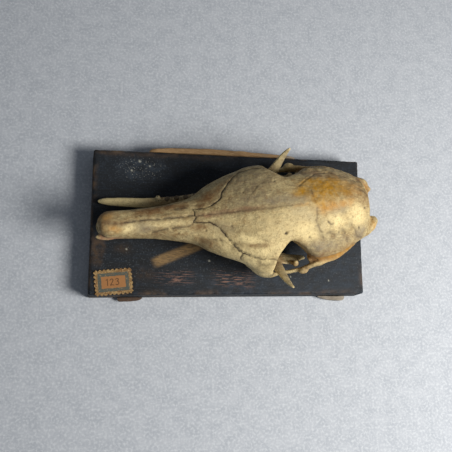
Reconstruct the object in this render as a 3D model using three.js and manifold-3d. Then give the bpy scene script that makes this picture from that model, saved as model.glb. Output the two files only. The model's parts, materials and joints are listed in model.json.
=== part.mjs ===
// The skull of a nine-banded armadillo, life size, lying with its two loose half jaws on its old
// black museum board. Millimetres, +Z up. The origin is the middle of the board's underside, +X runs
// along the board from the snout to the back of the head, and +Y is the far side, the animal's right.
import * as THREE from "three";
import { mergeVertices } from "three/addons/utils/BufferGeometryUtils.js";
import Module from "manifold-3d";

const wasm = await Module();
wasm.setup();

// Driving dimensions
const BOARD = { length: 101.2, widthFront: 52.5, widthBack: 51.6, thick: 9, rise: 1.1, lean: 0.8 };
const BOARD_EDGE = { corner: 0.9, worn: 0.5 };
const LABEL = { x: -42.45, y: -22.2, length: 13.2, width: 9.0, thick: 0.5, turn: 6, teeth: 9 };
const PERFORATION = { from: 0.3, middle: 0.5, to: 0.7, depth: 0.28 }; // shares of the pitch
const GAP = 0.3; // between pieces that lie on or beside one another
const SKULL = { tipX: -49.3, tipY: -5.7, rise: 10.3, yaw: 4.9, pitch: -2.6, roll: -3.2 };
const SUTURE = { width: 0.44, depth: 80 };

const rad = THREE.MathUtils.degToRad;
const board = (height) => BOARD.thick + height;

// Solids

// A closed three.js geometry as a solid, turned right side out.
function solid(geometry) {
  const bare = geometry.index ? geometry.toNonIndexed() : geometry.clone();
  bare.deleteAttribute("normal");
  bare.deleteAttribute("uv");
  const merged = mergeVertices(bare, 1e-4);
  const corners = new Uint32Array(merged.index.array);
  const make = () =>
    new wasm.Manifold(
      new wasm.Mesh({
        numProp: 3,
        vertProperties: merged.attributes.position.array,
        triVerts: corners,
      }),
    );
  const made = make();
  if (made.volume() > 0) return made;
  for (let i = 0; i < corners.length; i += 3)
    [corners[i + 1], corners[i + 2]] = [corners[i + 2], corners[i + 1]];
  return make();
}

const join = (solids) => solids.reduce((all, next) => all.add(next));

// The largest closed surface of a solid: it drops loose scraps and fills sealed hollows.
function whole(made) {
  return made.decompose().reduce((a, b) => (b.volume() > a.volume() ? b : a));
}

function mesh(name, made, look) {
  const shape = whole(made).getMesh();
  const positions = new Float32Array(shape.numVert * 3);
  for (let i = 0; i < shape.numVert; i++)
    positions.set(shape.vertProperties.subarray(i * shape.numProp, i * shape.numProp + 3), i * 3);
  const geometry = new THREE.BufferGeometry()
    .setAttribute("position", new THREE.BufferAttribute(positions, 3))
    .setIndex(new THREE.BufferAttribute(shape.triVerts, 1));
  const out = new THREE.Mesh(geometry.toNonIndexed(), look);
  out.geometry.computeVertexNormals();
  out.name = name;
  return out;
}

// A smooth curve through [at, value] knots: a cubic between each two, its slopes limited so that it
// never overshoots a knot.
function profile(knots) {
  const step = knots.slice(1).map(([at, value], i) => (value - knots[i][1]) / (at - knots[i][0]));
  const slope = knots.map((_, i) => {
    if (i === 0 || i === knots.length - 1) return step[Math.min(i, step.length - 1)];
    const [a, b] = [step[i - 1], step[i]];
    return a * b <= 0 ? 0 : (2 * a * b) / (a + b);
  });
  return (at) => {
    let i = 0;
    while (i < step.length - 1 && at > knots[i + 1][0]) i++;
    const span = knots[i + 1][0] - knots[i][0];
    const u = THREE.MathUtils.clamp((at - knots[i][0]) / span, 0, 1);
    return (
      knots[i][1] * (1 + 2 * u) * (1 - u) ** 2 +
      knots[i + 1][1] * u * u * (3 - 2 * u) +
      span * (slope[i] * u * (1 - u) ** 2 - slope[i + 1] * u * u * (1 - u))
    );
  };
}

// A closed body with rings of any form: a three.js cylinder whose rings are laid at the given
// places, each point at place(at, turn), and whose end caps are pulled to the rings' middles.
function loft(rings, around, place) {
  const shape = new THREE.CylinderGeometry(1, 1, 1, around, rings.length - 1);
  const spots = shape.attributes.position;
  const middle = (at) =>
    place(at, 0).add(place(at, 0.5)).add(place(at, 0.25)).add(place(at, 0.75)).multiplyScalar(0.25);
  for (let i = 0; i < spots.count; i++) {
    const at = rings[Math.round((spots.getY(i) + 0.5) * (rings.length - 1))];
    const reach = Math.hypot(spots.getX(i), spots.getZ(i));
    const turn = (Math.atan2(spots.getX(i), spots.getZ(i)) / (2 * Math.PI) + 1) % 1;
    const point = reach < 0.5 ? middle(at) : place(at, turn);
    spots.setXYZ(i, point.x, point.y, point.z);
  }
  return solid(shape);
}

// A bar along a smooth path, such as a cheek arch: an oval section whose long axis leans as told.
// Each path row is [x, y, z, half width, half depth]; depth is measured along the lean direction.
function bar(rows, lean, steps, around) {
  const path = new THREE.CatmullRomCurve3(rows.map(([x, y, z]) => new THREE.Vector3(x, y, z)));
  const wide = profile(rows.map((row, i) => [i / (rows.length - 1), row[3]]));
  const deep = profile(rows.map((row, i) => [i / (rows.length - 1), row[4]]));
  const rings = Array.from({ length: steps + 1 }, (_, i) => i / steps);
  return loft(rings, around, (at, turn) => {
    const along = path.getTangent(at);
    const side = new THREE.Vector3().crossVectors(lean, along).normalize();
    const down = new THREE.Vector3().crossVectors(along, side).normalize();
    const angle = 2 * Math.PI * turn;
    return path
      .getPoint(at)
      .addScaledVector(side, wide(at) * Math.cos(angle))
      .addScaledVector(down, deep(at) * Math.sin(angle));
  });
}

function ball({ at, radii, turn = 0, dip = 0, detail = 12 }) {
  const form = new THREE.SphereGeometry(1, detail, detail * 0.75).scale(...radii);
  return solid(form.rotateZ(rad(turn)).rotateY(-rad(dip)).translate(...at));
}

const mirrored = (made) => made.mirror([0, 1, 0]);

// The cranium. Its own frame: x back from the snout's tip, y out to the animal's right, z up from
// the plane of the palate. Half of each cross-section is named by five places: the roof on the
// middle line, the brow, the cheek and the gum as [out, up], and the palate on the middle line.
const STATIONS = [
  { at: 0.0, roof: 6.4, brow: [1.7, 5.7], cheek: [2.4, 3.7], gum: [1.8, 1.8], palate: 1.3 },
  { at: 1.2, roof: 8.0, brow: [2.9, 6.9], cheek: [3.8, 4.0], gum: [3.0, 0.9], palate: 0.4 },
  { at: 4.0, roof: 8.7, brow: [3.4, 7.4], cheek: [4.5, 4.2], gum: [3.7, 0.6], palate: 0.0 },
  { at: 9.0, roof: 8.9, brow: [3.4, 7.6], cheek: [4.5, 4.3], gum: [3.8, 0.4], palate: 0.0 },
  { at: 18.0, roof: 9.8, brow: [3.7, 8.4], cheek: [5.0, 4.8], gum: [4.2, 0.3], palate: 0.2 },
  { at: 26.0, roof: 11.0, brow: [4.7, 9.4], cheek: [6.3, 5.0], gum: [5.2, 0.2], palate: 0.4 },
  { at: 32.0, roof: 12.2, brow: [5.9, 10.2], cheek: [8.0, 5.2], gum: [6.0, 0.0], palate: 0.6 },
  { at: 37.0, roof: 13.8, brow: [8.2, 11.4], cheek: [11.2, 5.6], gum: [6.4, 0.0], palate: 0.8 },
  { at: 42.0, roof: 15.6, brow: [10.6, 12.7], cheek: [13.6, 6.2], gum: [6.6, 0.0], palate: 0.8 },
  { at: 48.0, roof: 18.0, brow: [13.0, 14.2], cheek: [15.8, 6.6], gum: [6.7, 0.0], palate: 0.8 },
  { at: 53.0, roof: 19.8, brow: [14.4, 15.2], cheek: [18.4, 6.4], gum: [6.9, 0.2], palate: 0.8 },
  { at: 57.0, roof: 20.8, brow: [14.8, 15.8], cheek: [19.2, 6.2], gum: [7.2, 0.5], palate: 0.8 },
  { at: 59.0, roof: 21.2, brow: [13.8, 16.4], cheek: [11.6, 8.4], gum: [6.8, 0.9], palate: 0.9 },
  { at: 63.0, roof: 21.8, brow: [10.9, 17.6], cheek: [7.8, 9.5], gum: [6.2, 1.4], palate: 1.0 },
  { at: 68.0, roof: 22.2, brow: [12.0, 16.6], cheek: [10.6, 8.6], gum: [7.0, 2.2], palate: 2.4 },
  { at: 74.0, roof: 22.4, brow: [13.8, 15.4], cheek: [14.6, 8.6], gum: [8.4, 2.4], palate: 2.8 },
  { at: 80.0, roof: 22.0, brow: [14.0, 14.6], cheek: [15.2, 8.4], gum: [9.0, 2.4], palate: 2.8 },
  { at: 86.5, roof: 20.6, brow: [12.4, 13.8], cheek: [13.0, 7.8], gum: [8.6, 2.6], palate: 3.0 },
  { at: 91.5, roof: 18.6, brow: [10.6, 12.6], cheek: [11.4, 7.6], gum: [7.4, 2.9], palate: 3.2 },
  { at: 94.2, roof: 15.4, brow: [8.8, 11.4], cheek: [9.0, 7.8], gum: [5.8, 3.8], palate: 3.6 },
  { at: 96.2, roof: 11.4, brow: [4.8, 10.0], cheek: [5.2, 7.8], gum: [3.8, 5.2], palate: 4.8 },
];
const AROUND = 36;
// On the left side the braincase swells out and sags over the root of the cheek arch.
const SWELL = { at: 73, span: 6, out: 1.1, down: 1.2, from: 8, to: 14 };
const curveOf = (value) => profile(STATIONS.map((station) => [station.at, value(station)]));
const EDGES = ["brow", "cheek", "gum"];
const outAndUp = (name) => [0, 1].map((k) => curveOf((station) => station[name][k]));
const line = {
  roof: curveOf((station) => station.roof),
  palate: curveOf((station) => station.palate),
  ...Object.fromEntries(EDGES.map((name) => [name, outAndUp(name)])),
};

// A point of the cranium's wall: a closed smooth curve through the eight places of the section.
function wall(at, turn) {
  const half = [
    [0, line.roof(at)],
    ...EDGES.map((name) => line[name].map((value) => value(at))),
    [0, line.palate(at)],
  ];
  const places = [...half, ...half.slice(1, 4).reverse().map(([y, z]) => [-y, z])];
  const count = places.length;
  const u = turn * count;
  const i = Math.floor(u) % count;
  const w = u - Math.floor(u);
  const [a, b, c, d] = [-1, 0, 1, 2].map((k) => places[(i + k + count) % count]);
  const blend = (k) =>
    0.5 *
    (2 * b[k] +
      (c[k] - a[k]) * w +
      (2 * a[k] - 5 * b[k] + 4 * c[k] - d[k]) * w * w +
      (3 * b[k] - a[k] - 3 * c[k] + d[k]) * w * w * w);
  const point = new THREE.Vector3(at, blend(0), blend(1));
  const left = THREE.MathUtils.smoothstep(-point.y, SWELL.from, SWELL.to);
  const swell = left * Math.exp(-(((at - SWELL.at) / SWELL.span) ** 2));
  point.y -= SWELL.out * swell;
  point.z -= SWELL.down * swell;
  return point;
}

// Rings lie closer where the form turns quickly: at the snout's tip, the orbit and the occiput.
const RINGS = [
  0, 0.5, 1.2, 2.4, 4, 6.5, 9, 13, 18, 22, 26, 29.5, 32, 34.5, 37, 39.5, 42, 45, 48, 50.5, 53, 55, 56.5,
  57.5, 58.3, 59.2, 60.5, 62, 64, 66, 68, 71, 74, 77, 80, 83, 86, 88.5, 91, 92.8, 94.2, 95.2, 96.2,
];

const TEETH_UPPER = { count: 7, first: 30.5, pitch: 3.2, out: [4.9, 5.6], radius: 1.05, long: 0.7 };

// A peg tooth that narrows to its worn crown, standing along the given direction.
const PEG = { crown: 0.55, along: 1.15, across: 0.9, sides: 8, sunk: 0.9, smaller: 0.2 };
function tooth(x, y, z, radius, long, down) {
  const peg = new THREE.CylinderGeometry(radius * PEG.crown, radius, long, PEG.sides)
    .scale(PEG.along, 1, PEG.across)
    .rotateX(down ? -Math.PI / 2 : Math.PI / 2)
    .translate(x, y, z + ((down ? -1 : 1) * long) / 2);
  return solid(peg);
}

function upperTeeth() {
  const { count, first, pitch, out, radius, long } = TEETH_UPPER;
  return Array.from({ length: count }, (_, i) => {
    const share = i / (count - 1);
    const y = THREE.MathUtils.lerp(out[0], out[1], Math.sin((share * Math.PI) / 2));
    const thick = radius * (1 - PEG.smaller * Math.abs(share - 0.5));
    return tooth(first + i * pitch, y, PEG.sunk, thick, long + PEG.sunk, true);
  });
}

const UP = new THREE.Vector3(0, 0, 1);
const BACK = new THREE.Vector3(1, 0, 0);

// The cheek arch: a deep, thin jugal plate that hangs low in front, then a slimmer bar, then the
// squamosal's root on the braincase. On the left side the root stands out further.
const ARCH_ROWS = [
  [49.5, 15.6, 5.4, 0.6, 1.2],
  [53.0, 17.0, 4.8, 1.0, 3.0],
  [56.5, 18.0, 2.4, 1.2, 3.6],
  [59.6, 18.4, 0.1, 0.9, 2.0],
  [62.6, 18.4, 0.6, 0.7, 1.6],
  [66.5, 18.7, 2.2, 0.7, 1.5],
  [71.0, 18.5, 3.6, 0.9, 1.6],
  [74.5, 17.8, 5.0, 1.0, 1.9],
  [79.0, 16.8, 6.5, 1.1, 2.1],
  [83.5, 15.4, 7.7, 1.2, 2.2],
];
const RIGHT_ROOT = [
  [86.2, 11.9, 8.4, 1.2, 2.0],
  [89.0, 10.2, 9.2, 1.2, 1.8],
];
const LEFT_ROOT = [
  [86.5, 13.4, 8.4, 1.5, 2.0],
  [89.0, 11.2, 9.2, 1.6, 1.8],
];
const JUGAL = { from: 58.6, to: 72.3 };
// The knob where the jugal ends, and the squamosal shelf that carries on behind it to the crest.
const KNOB = { at: [70.3, 19.2, 4.3], radii: [1.9, 1.4, 1.5] };
const SHELF_ROWS = [
  [72.2, 15.8, 5.0, 0.9, 0.7],
  [74.0, 15.2, 5.5, 2.5, 0.9],
  [78.0, 14.6, 6.3, 3.2, 1.1],
  [83.0, 13.2, 7.3, 3.0, 1.2],
  [87.0, 11.0, 8.2, 2.0, 1.4],
];
function cheekArch(root) {
  return join([bar([...ARCH_ROWS, ...root], UP, 26, 12), ball(KNOB), bar(SHELF_ROWS, UP, 10, 10)]);
}

// The smaller forms of the cranium's underside and back. Each bar row is as in ARCH_ROWS.
const PTERYGOID = [
  [57.0, 4.6, 0.6, 0.9, 1.2],
  [62.0, 4.3, -0.4, 0.7, 1.9],
  [67.0, 4.4, 0.0, 0.7, 2.3],
  [71.0, 5.2, 1.9, 0.8, 1.4],
];
const MASTOID = [
  [84.0, 10.6, 6.0, 1.6, 2.6],
  [89.0, 10.8, 5.0, 1.6, 2.8],
  [92.0, 9.6, 4.6, 1.2, 1.8],
];
// The right corner of the back of the head stands out beyond the crest, the left one is rounder and
// hides a larger condyle.
const RIGHT_CORNER = [
  [86.0, 10.6, 8.4, 1.4, 2.4],
  [90.5, 10.2, 8.8, 1.8, 2.8],
  [94.8, 9.2, 8.8, 1.8, 2.8],
  [98.6, 6.0, 8.6, 1.2, 1.8],
];
const LEFT_CORNER = [
  [88.0, -11.2, 8.0, 1.4, 2.6],
  [92.0, -9.9, 8.2, 1.8, 3.2],
  [95.6, -7.8, 8.4, 2.0, 3.2],
  [98.0, -5.0, 8.0, 1.6, 2.4],
];
const CREST = [
  [89.0, 11.4, 9.0, 0.5, 0.7],
  [91.8, 9.8, 12.4, 0.6, 0.7],
  [92.5, 5.8, 16.4, 0.6, 0.7],
  [92.8, 0.0, 18.1, 0.6, 0.7],
  [92.5, -5.8, 16.4, 0.6, 0.7],
  [91.8, -9.8, 12.4, 0.6, 0.7],
  [89.0, -11.4, 9.0, 0.5, 0.7],
];
const EAR_RING = { at: [79.5, 9.4, 2.4], radius: 2.5, thick: 0.75, tilt: 61, turn: 14 };
const RIGHT_CONDYLE = { at: [95.8, 4.2, 6.4], radii: [2.9, 2.4, 3.3], turn: 20, dip: 11 };
const LEFT_CONDYLE = { at: [97.2, -4.5, 6.6], radii: [3.4, 2.4, 3.3], turn: -20, dip: 11 };
// What is hollowed out: the undercut between the tooth row and the root of the cheek arch, the
// foramen magnum, the nostrils, the opening below each orbit and the one behind the palate.
const UNDERCUT = [
  [29.0, 9.4, 0.0, 1.0, 1.6],
  [36.0, 10.0, 0.6, 3.0, 3.6],
  [44.0, 11.0, 0.8, 3.7, 4.2],
  [52.0, 12.2, 1.0, 4.8, 4.8],
  [60.0, 12.6, 1.2, 4.2, 5.0],
  [67.0, 11.6, 1.6, 4.0, 4.6],
  [72.0, 12.0, 1.0, 2.0, 2.0],
];
const MARROW = { at: [97.4, 0, 8.2], radii: [5.4, 3.3, 3.1], detail: 16 };
const NOSTRIL = { at: [-0.6, 0, 4.9], radii: [4.2, 2.5, 2.3], detail: 14 };
const ORBIT_OPENING = { at: [46.5, 14.2, 3.9], radii: [3.4, 1.3, 1.3] };
const CHOANA = { at: [66.0, 0, 0.6], radii: [6.0, 2.7, 2.3], detail: 14 };

// This animal's own lopsidedness: the left cheek flares wider than the right one, and the back of the
// head leans to the right.
const LOPSIDED = { cheek: 1.2, cheekAt: 57, cheekSpan: 10, back: 1.2, backFrom: 75, backTo: 94 };
function grown(point) {
  const { cheek, cheekAt, cheekSpan, back, backFrom, backTo } = LOPSIDED;
  const near = Math.exp(-(((point[0] - cheekAt) / cheekSpan) ** 2)) * (point[1] / 18) ** 2;
  point[1] += back * THREE.MathUtils.smoothstep(point[0], backFrom, backTo) - cheek * near;
}

function craniumWhole() {
  const ear = solid(
    new THREE.TorusGeometry(EAR_RING.radius, EAR_RING.thick, 6, 14)
      .rotateX(rad(EAR_RING.tilt))
      .rotateZ(rad(EAR_RING.turn))
      .translate(...EAR_RING.at),
  );
  const side = [bar(PTERYGOID, UP, 8, 8), ear, bar(MASTOID, UP, 6, 8), ...upperTeeth()];
  const undercut = bar(UNDERCUT, UP, 12, 12);
  const opening = ball(ORBIT_OPENING);
  const core = loft(RINGS, AROUND, wall).subtract(undercut).subtract(mirrored(undercut));
  const back = [
    bar(CREST, BACK, 18, 8),
    bar(RIGHT_CORNER, UP, 8, 10),
    bar(LEFT_CORNER, UP, 8, 10),
    ball(RIGHT_CONDYLE),
    ball(LEFT_CONDYLE),
  ];
  const arches = [cheekArch(RIGHT_ROOT), mirrored(cheekArch(LEFT_ROOT))];
  return join([core, ...back, ...arches, ...side, ...side.map(mirrored)])
    .subtract(ball(MARROW))
    .subtract(ball(NOSTRIL))
    .subtract(opening)
    .subtract(mirrored(opening))
    .subtract(ball(CHOANA))
    .warp(grown);
}

// The suture between face and forehead, seen from above: across the ends of the nasals, then out
// and back along the maxilla and the lacrimal to the rim of the orbit.
const SUTURE_HALF = [
  [31.8, 0],
  [31.5, 2.3],
  [36.2, 2.8],
  [38.2, 3.9],
  [40.4, 6.2],
  [42.4, 9.2],
  [45.2, 12.4],
  [47.0, 13.9],
  [50.0, 15.0],
  [54.0, 15.9],
  [57.4, 16.3],
  [59.6, 15.9],
];
function sutureCut() {
  const leftHalf = SUTURE_HALF.map(([x, y]) => [x, -y]);
  const path = [...SUTURE_HALF.slice(1).reverse(), ...leftHalf];
  const spine = path.map(([x, y]) => new THREE.Vector2(x, y));
  const beside = (shift) =>
    spine.map((point, i) => {
      const before = spine[Math.max(i - 1, 0)];
      const after = spine[Math.min(i + 1, spine.length - 1)];
      const along = after.clone().sub(before).normalize();
      const next = after.clone().sub(point).normalize();
      const bend = i < spine.length - 1 ? along.dot(next) : 1;
      return point.clone().add(new THREE.Vector2(-along.y, along.x).multiplyScalar(shift / bend));
    });
  const outline = new THREE.Shape([
    ...beside(SUTURE.width / 2),
    ...beside(-SUTURE.width / 2).reverse(),
  ]);
  const { depth } = SUTURE;
  return solid(
    new THREE.ExtrudeGeometry(outline, { depth, bevelEnabled: false }).translate(0, 0, -depth / 2),
  ).warp(grown);
}

// The lower jaw. Each half lies by itself. Its frame: x back from its tip, y out to its own side,
// z up from its lower edge.
const JAW_BODY = [
  // [x, y, z of the middle, half width, half depth]
  [0.0, 3.0, 1.9, 0.5, 0.6],
  [3.0, 2.4, 2.2, 1.1, 1.5],
  [9.0, 1.4, 2.3, 1.4, 1.9],
  [18.0, 0.1, 2.5, 1.5, 2.2],
  [30.0, -0.6, 2.9, 1.7, 2.7],
  [42.0, 0.4, 3.4, 1.7, 3.2],
  [52.0, 1.6, 4.0, 1.5, 3.8],
  [60.0, 2.2, 4.9, 1.2, 4.5],
  [66.0, 2.7, 5.0, 0.9, 4.0],
  [70.0, 2.4, 3.8, 0.7, 2.4],
  [73.0, 1.9, 3.2, 0.5, 1.0],
];
const CORONOID = [
  [58.6, 2.2, 5.6, 0.9, 4.2],
  [61.2, 2.8, 10.4, 0.85, 2.8],
  [62.6, 3.2, 14.6, 0.8, 2.0],
  [63.6, 3.6, 18.2, 0.7, 1.5],
  [64.9, 4.0, 21.6, 0.55, 1.0],
  [66.1, 4.2, 23.9, 0.3, 0.4],
];
const CONDYLE = [
  [66.4, 2.5, 5.4, 0.8, 2.4],
  [67.8, 2.3, 8.2, 0.8, 1.6],
  [68.5, 1.6, 10.6, 0.8, 1.1],
];
const CONDYLE_HEAD = { at: [68.5, 1.4, 10.8], radii: [1.1, 1.4, 0.9] };
// Only the foremost tooth stands to its full height; the others are worn or broken to stumps.
const JAW_TEETH = { count: 8, first: 20.5, pitch: 3.3, radius: 0.95, root: 1.0, whole: 1.6, stump: 0.5 };

function halfJaw() {
  const body = bar(JAW_BODY, UP, 24, 12);
  const coronoid = bar(CORONOID, BACK, 14, 10);
  const neck = bar(CONDYLE, BACK, 6, 10);
  const head = ball(CONDYLE_HEAD);
  const gum = profile(JAW_BODY.map(([x, , z, , deep]) => [x, z + deep]));
  const middle = profile(JAW_BODY.map(([x, y]) => [x, y]));
  const teeth = Array.from({ length: JAW_TEETH.count }, (_, i) => {
    const x = JAW_TEETH.first + i * JAW_TEETH.pitch;
    const long = JAW_TEETH.root + (i === 0 ? JAW_TEETH.whole : JAW_TEETH.stump);
    return tooth(x, middle(x), gum(x) - JAW_TEETH.root, JAW_TEETH.radius, long, false);
  });
  return join([body, coronoid, neck, head, ...teeth]);
}

// Where each half jaw lies: its lower edge's front end, its turn seen from above, how far it leans
// outwards, and how much its front end dips.
const JAWS = {
  right: { x: -48.0, y: 2.55, up: 1.1, yaw: 7.0, lean: 18, pitch: 1.3 },
  left: { x: -46.4, y: -0.7, up: 1.2, yaw: -6.9, lean: 37, pitch: 2.0 },
};

// The old board: a slab a little out of square, with worn, rounded edges.
const HALF = BOARD.length / 2;
const edgeFrom = (front, back) => (x) => THREE.MathUtils.mapLinear(x, -HALF, HALF, front / 2, back / 2);
const farEdge = edgeFrom(BOARD.widthFront - BOARD.rise, BOARD.widthBack + BOARD.rise);
const nearEdge = edgeFrom(-BOARD.widthFront - BOARD.rise, -BOARD.widthBack + BOARD.rise);
function boardSolid() {
  const { corner, worn } = BOARD_EDGE;
  const [x, y, r] = [HALF - worn, BOARD.widthFront / 2 - worn, corner];
  const outline = new THREE.Shape()
    .moveTo(-x + r, -y)
    .lineTo(x - r, -y)
    .quadraticCurveTo(x, -y, x, -y + r)
    .lineTo(x, y - r)
    .quadraticCurveTo(x, y, x - r, y)
    .lineTo(-x + r, y)
    .quadraticCurveTo(-x, y, -x, y - r)
    .lineTo(-x, -y + r)
    .quadraticCurveTo(-x, -y, -x + r, -y);
  const shape = new THREE.ExtrudeGeometry(outline, {
    depth: BOARD.thick - 2 * worn,
    curveSegments: 4,
    bevelEnabled: true,
    bevelThickness: worn,
    bevelSize: worn,
    bevelSegments: 2,
  }).translate(0, 0, worn);
  const spots = shape.attributes.position;
  for (let i = 0; i < spots.count; i++) {
    const share = spots.getY(i) / BOARD.widthFront + 0.5;
    const at = spots.getX(i);
    spots.setX(i, at + BOARD.lean * (share - 0.5));
    spots.setY(i, THREE.MathUtils.lerp(nearEdge(at), farEdge(at), share));
  }
  return solid(shape);
}

// The old paper label, perforated along its edges.
function labelSolid() {
  const { length, width, thick, teeth } = LABEL;
  const pitch = length / teeth;
  const rows = Math.round(width / pitch);
  const edge = (from, to, count) => {
    const step = to.clone().sub(from).divideScalar(count);
    const inward = new THREE.Vector2(-step.y, step.x).multiplyScalar(PERFORATION.depth);
    return Array.from({ length: count }, (_, i) => {
      const start = from.clone().addScaledVector(step, i);
      return [
        start,
        start.clone().addScaledVector(step, PERFORATION.from),
        start.clone().addScaledVector(step, PERFORATION.middle).add(inward),
        start.clone().addScaledVector(step, PERFORATION.to),
      ];
    }).flat();
  };
  const half = new THREE.Vector2(length / 2, width / 2);
  const signs = [
    [-1, -1],
    [1, -1],
    [1, 1],
    [-1, 1],
  ];
  const corners = signs.map(([u, v]) => new THREE.Vector2(u, v).multiply(half));
  const outline = corners.flatMap((corner, i) => {
    const next = corners[(i + 1) % corners.length];
    return edge(corner, next, i % 2 ? rows : teeth);
  });
  const sheet = { depth: thick, bevelEnabled: false };
  return solid(new THREE.ExtrudeGeometry(new THREE.Shape(outline), sheet));
}

// A rough length of raw wood beside the board's edge, from a low to a high level. Its rows are
// [x, reach out from the edge].
const STRIP = {
  low: 3.4,
  high: 8.6,
  rows: [
    [-30.0, 0.4],
    [-28.6, 1.5],
    [-20.0, 1.95],
    [-6.0, 2.25],
    [2.0, 1.95],
    [8.0, 1.6],
    [17.0, 1.15],
    [25.0, 0.8],
    [26.0, 0.3],
  ],
};
const SPLINTER_LEFT = {
  low: 1.2,
  high: 2.4,
  rows: [
    [-40.6, 0.5],
    [-40.0, 1.4],
    [-36.2, 1.3],
    [-32.8, 0.8],
    [-31.8, 0.3],
  ],
};
const SPLINTER_RIGHT = {
  low: 1.0,
  high: 3.0,
  rows: [
    [34.4, 0.3],
    [36.4, 1.0],
    [40.0, 1.4],
    [43.6, 1.6],
    [44.8, 0.9],
    [45.0, 0.3],
  ],
};
function tornWood({ low, high, rows }, edgeOf, out) {
  const inner = rows.map(([x]) => new THREE.Vector2(x, edgeOf(x) + out * GAP));
  const outer = rows.map(([x, reach]) => new THREE.Vector2(x, edgeOf(x) + out * (GAP + reach)));
  const outline = new THREE.Shape([...inner, ...outer.reverse()]);
  const length = { depth: high - low, bevelEnabled: false };
  return solid(new THREE.ExtrudeGeometry(outline, length).translate(0, 0, low));
}

// Looks, from the photo
const finish = (color, roughness) => new THREE.MeshStandardMaterial({ color, roughness, metalness: 0 });
const BONE = finish(0xbfae86, 0.62);
const BONE_PALE = finish(0xcfc299, 0.6);
const PAINT = finish(0x23272d, 0.55);
const PAPER = finish(0xb98d52, 0.85);
const RAW_WOOD = finish(0x9c7350, 0.8);

const root = new THREE.Group();
root.add(mesh("board", boardSolid(), PAINT));

const label = mesh("label", labelSolid(), PAPER);
label.position.set(LABEL.x, LABEL.y, BOARD.thick);
label.rotation.z = rad(LABEL.turn);
root.add(label);
root.add(mesh("edge_strip", tornWood(STRIP, farEdge, 1), RAW_WOOD));
root.add(mesh("splinter_left", tornWood(SPLINTER_LEFT, nearEdge, -1), RAW_WOOD));
root.add(mesh("splinter_right", tornWood(SPLINTER_RIGHT, nearEdge, -1), RAW_WOOD));

// Cranium
const cranium = new THREE.Group();
cranium.position.set(SKULL.tipX, SKULL.tipY, board(SKULL.rise));
cranium.rotation.set(rad(SKULL.roll), -rad(SKULL.pitch), rad(SKULL.yaw), "ZYX");
root.add(cranium);

// The cheek arches are parted from the skull in front by a box on each side, and the face from the
// braincase by the suture.
const CHEEK = { inner: 14.75, wide: 12, deep: 26, middle: 2 };
const SIDES = { right: 1, left: -1 };
function cheekBox(out, gap) {
  const [from, to] = [JUGAL.from - gap, JUGAL.to + gap];
  const box = new THREE.BoxGeometry(to - from, CHEEK.wide, CHEEK.deep);
  const across = out * (CHEEK.inner + CHEEK.wide / 2);
  return solid(box.translate((from + to) / 2, across, CHEEK.middle));
}
const skull = craniumWhole();
let parted = skull.subtract(sutureCut());
for (const [side, out] of Object.entries(SIDES)) {
  const arch = skull.intersect(cheekBox(out, -SUTURE.width / 2));
  cranium.add(mesh(`cheek_arch_${side}`, arch, BONE));
  parted = parted.subtract(cheekBox(out, SUTURE.width / 2));
}
const front = (made) => made.boundingBox().min[0];
const [snout, braincase] = parted
  .decompose()
  .sort((a, b) => b.volume() - a.volume())
  .slice(0, 2)
  .sort((a, b) => front(a) - front(b));
cranium.add(mesh("snout", snout, BONE));
cranium.add(mesh("braincase", braincase, BONE));

// Lower jaws
const jaw = halfJaw();
for (const [side, out] of Object.entries(SIDES)) {
  const { x, y, up, yaw, lean, pitch } = JAWS[side];
  const holder = new THREE.Group();
  holder.position.set(x, y, board(up));
  holder.rotation.set(-out * rad(lean), -rad(pitch), rad(yaw), "ZYX");
  holder.add(mesh(`mandible_${side}`, out > 0 ? jaw : mirrored(jaw), BONE_PALE));
  root.add(holder);
}

export default root;
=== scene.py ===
"""A museum armadillo skull, life size, lying with its two loose half jaws on an old black board.

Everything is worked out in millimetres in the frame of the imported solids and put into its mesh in
metres. +Z is up, +X runs from the snout to the back of the head, +Y is the far side.
"""
import json
import math

import bmesh
import bpy
import numpy as np
from bpy.props import FloatProperty, FloatVectorProperty, PointerProperty
from bpy.types import Operator, Panel, PropertyGroup
from mathutils import Matrix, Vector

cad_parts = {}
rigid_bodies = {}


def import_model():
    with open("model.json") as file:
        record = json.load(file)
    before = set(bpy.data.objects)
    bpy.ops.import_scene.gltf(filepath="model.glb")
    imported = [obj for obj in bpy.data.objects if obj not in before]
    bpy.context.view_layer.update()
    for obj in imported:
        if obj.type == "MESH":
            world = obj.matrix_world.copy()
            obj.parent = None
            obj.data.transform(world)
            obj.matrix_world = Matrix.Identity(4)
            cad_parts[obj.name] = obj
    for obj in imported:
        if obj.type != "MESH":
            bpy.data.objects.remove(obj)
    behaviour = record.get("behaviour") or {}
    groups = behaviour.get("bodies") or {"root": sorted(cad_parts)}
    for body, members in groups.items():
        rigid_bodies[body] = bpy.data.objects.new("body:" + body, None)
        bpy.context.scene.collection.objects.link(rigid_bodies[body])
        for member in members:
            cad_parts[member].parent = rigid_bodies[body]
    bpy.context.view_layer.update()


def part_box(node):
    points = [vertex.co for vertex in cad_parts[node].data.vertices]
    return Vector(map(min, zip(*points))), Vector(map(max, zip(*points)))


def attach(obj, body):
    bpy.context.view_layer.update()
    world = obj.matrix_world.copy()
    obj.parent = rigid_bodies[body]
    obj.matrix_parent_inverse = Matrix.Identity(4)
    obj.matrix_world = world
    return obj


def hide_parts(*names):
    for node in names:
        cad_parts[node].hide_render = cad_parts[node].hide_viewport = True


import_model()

bl_info = {
    "name": "Mounted armadillo skull",
    "version": (1, 0, 0),
    "blender": (4, 5, 0),
    "location": "3D View > Sidebar > Skull",
    "description": "Builds a skull, two loose half jaws and a black board round packed solids",
    "category": "Add Mesh",
}

MM = 0.001  # metres in a millimetre

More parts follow.
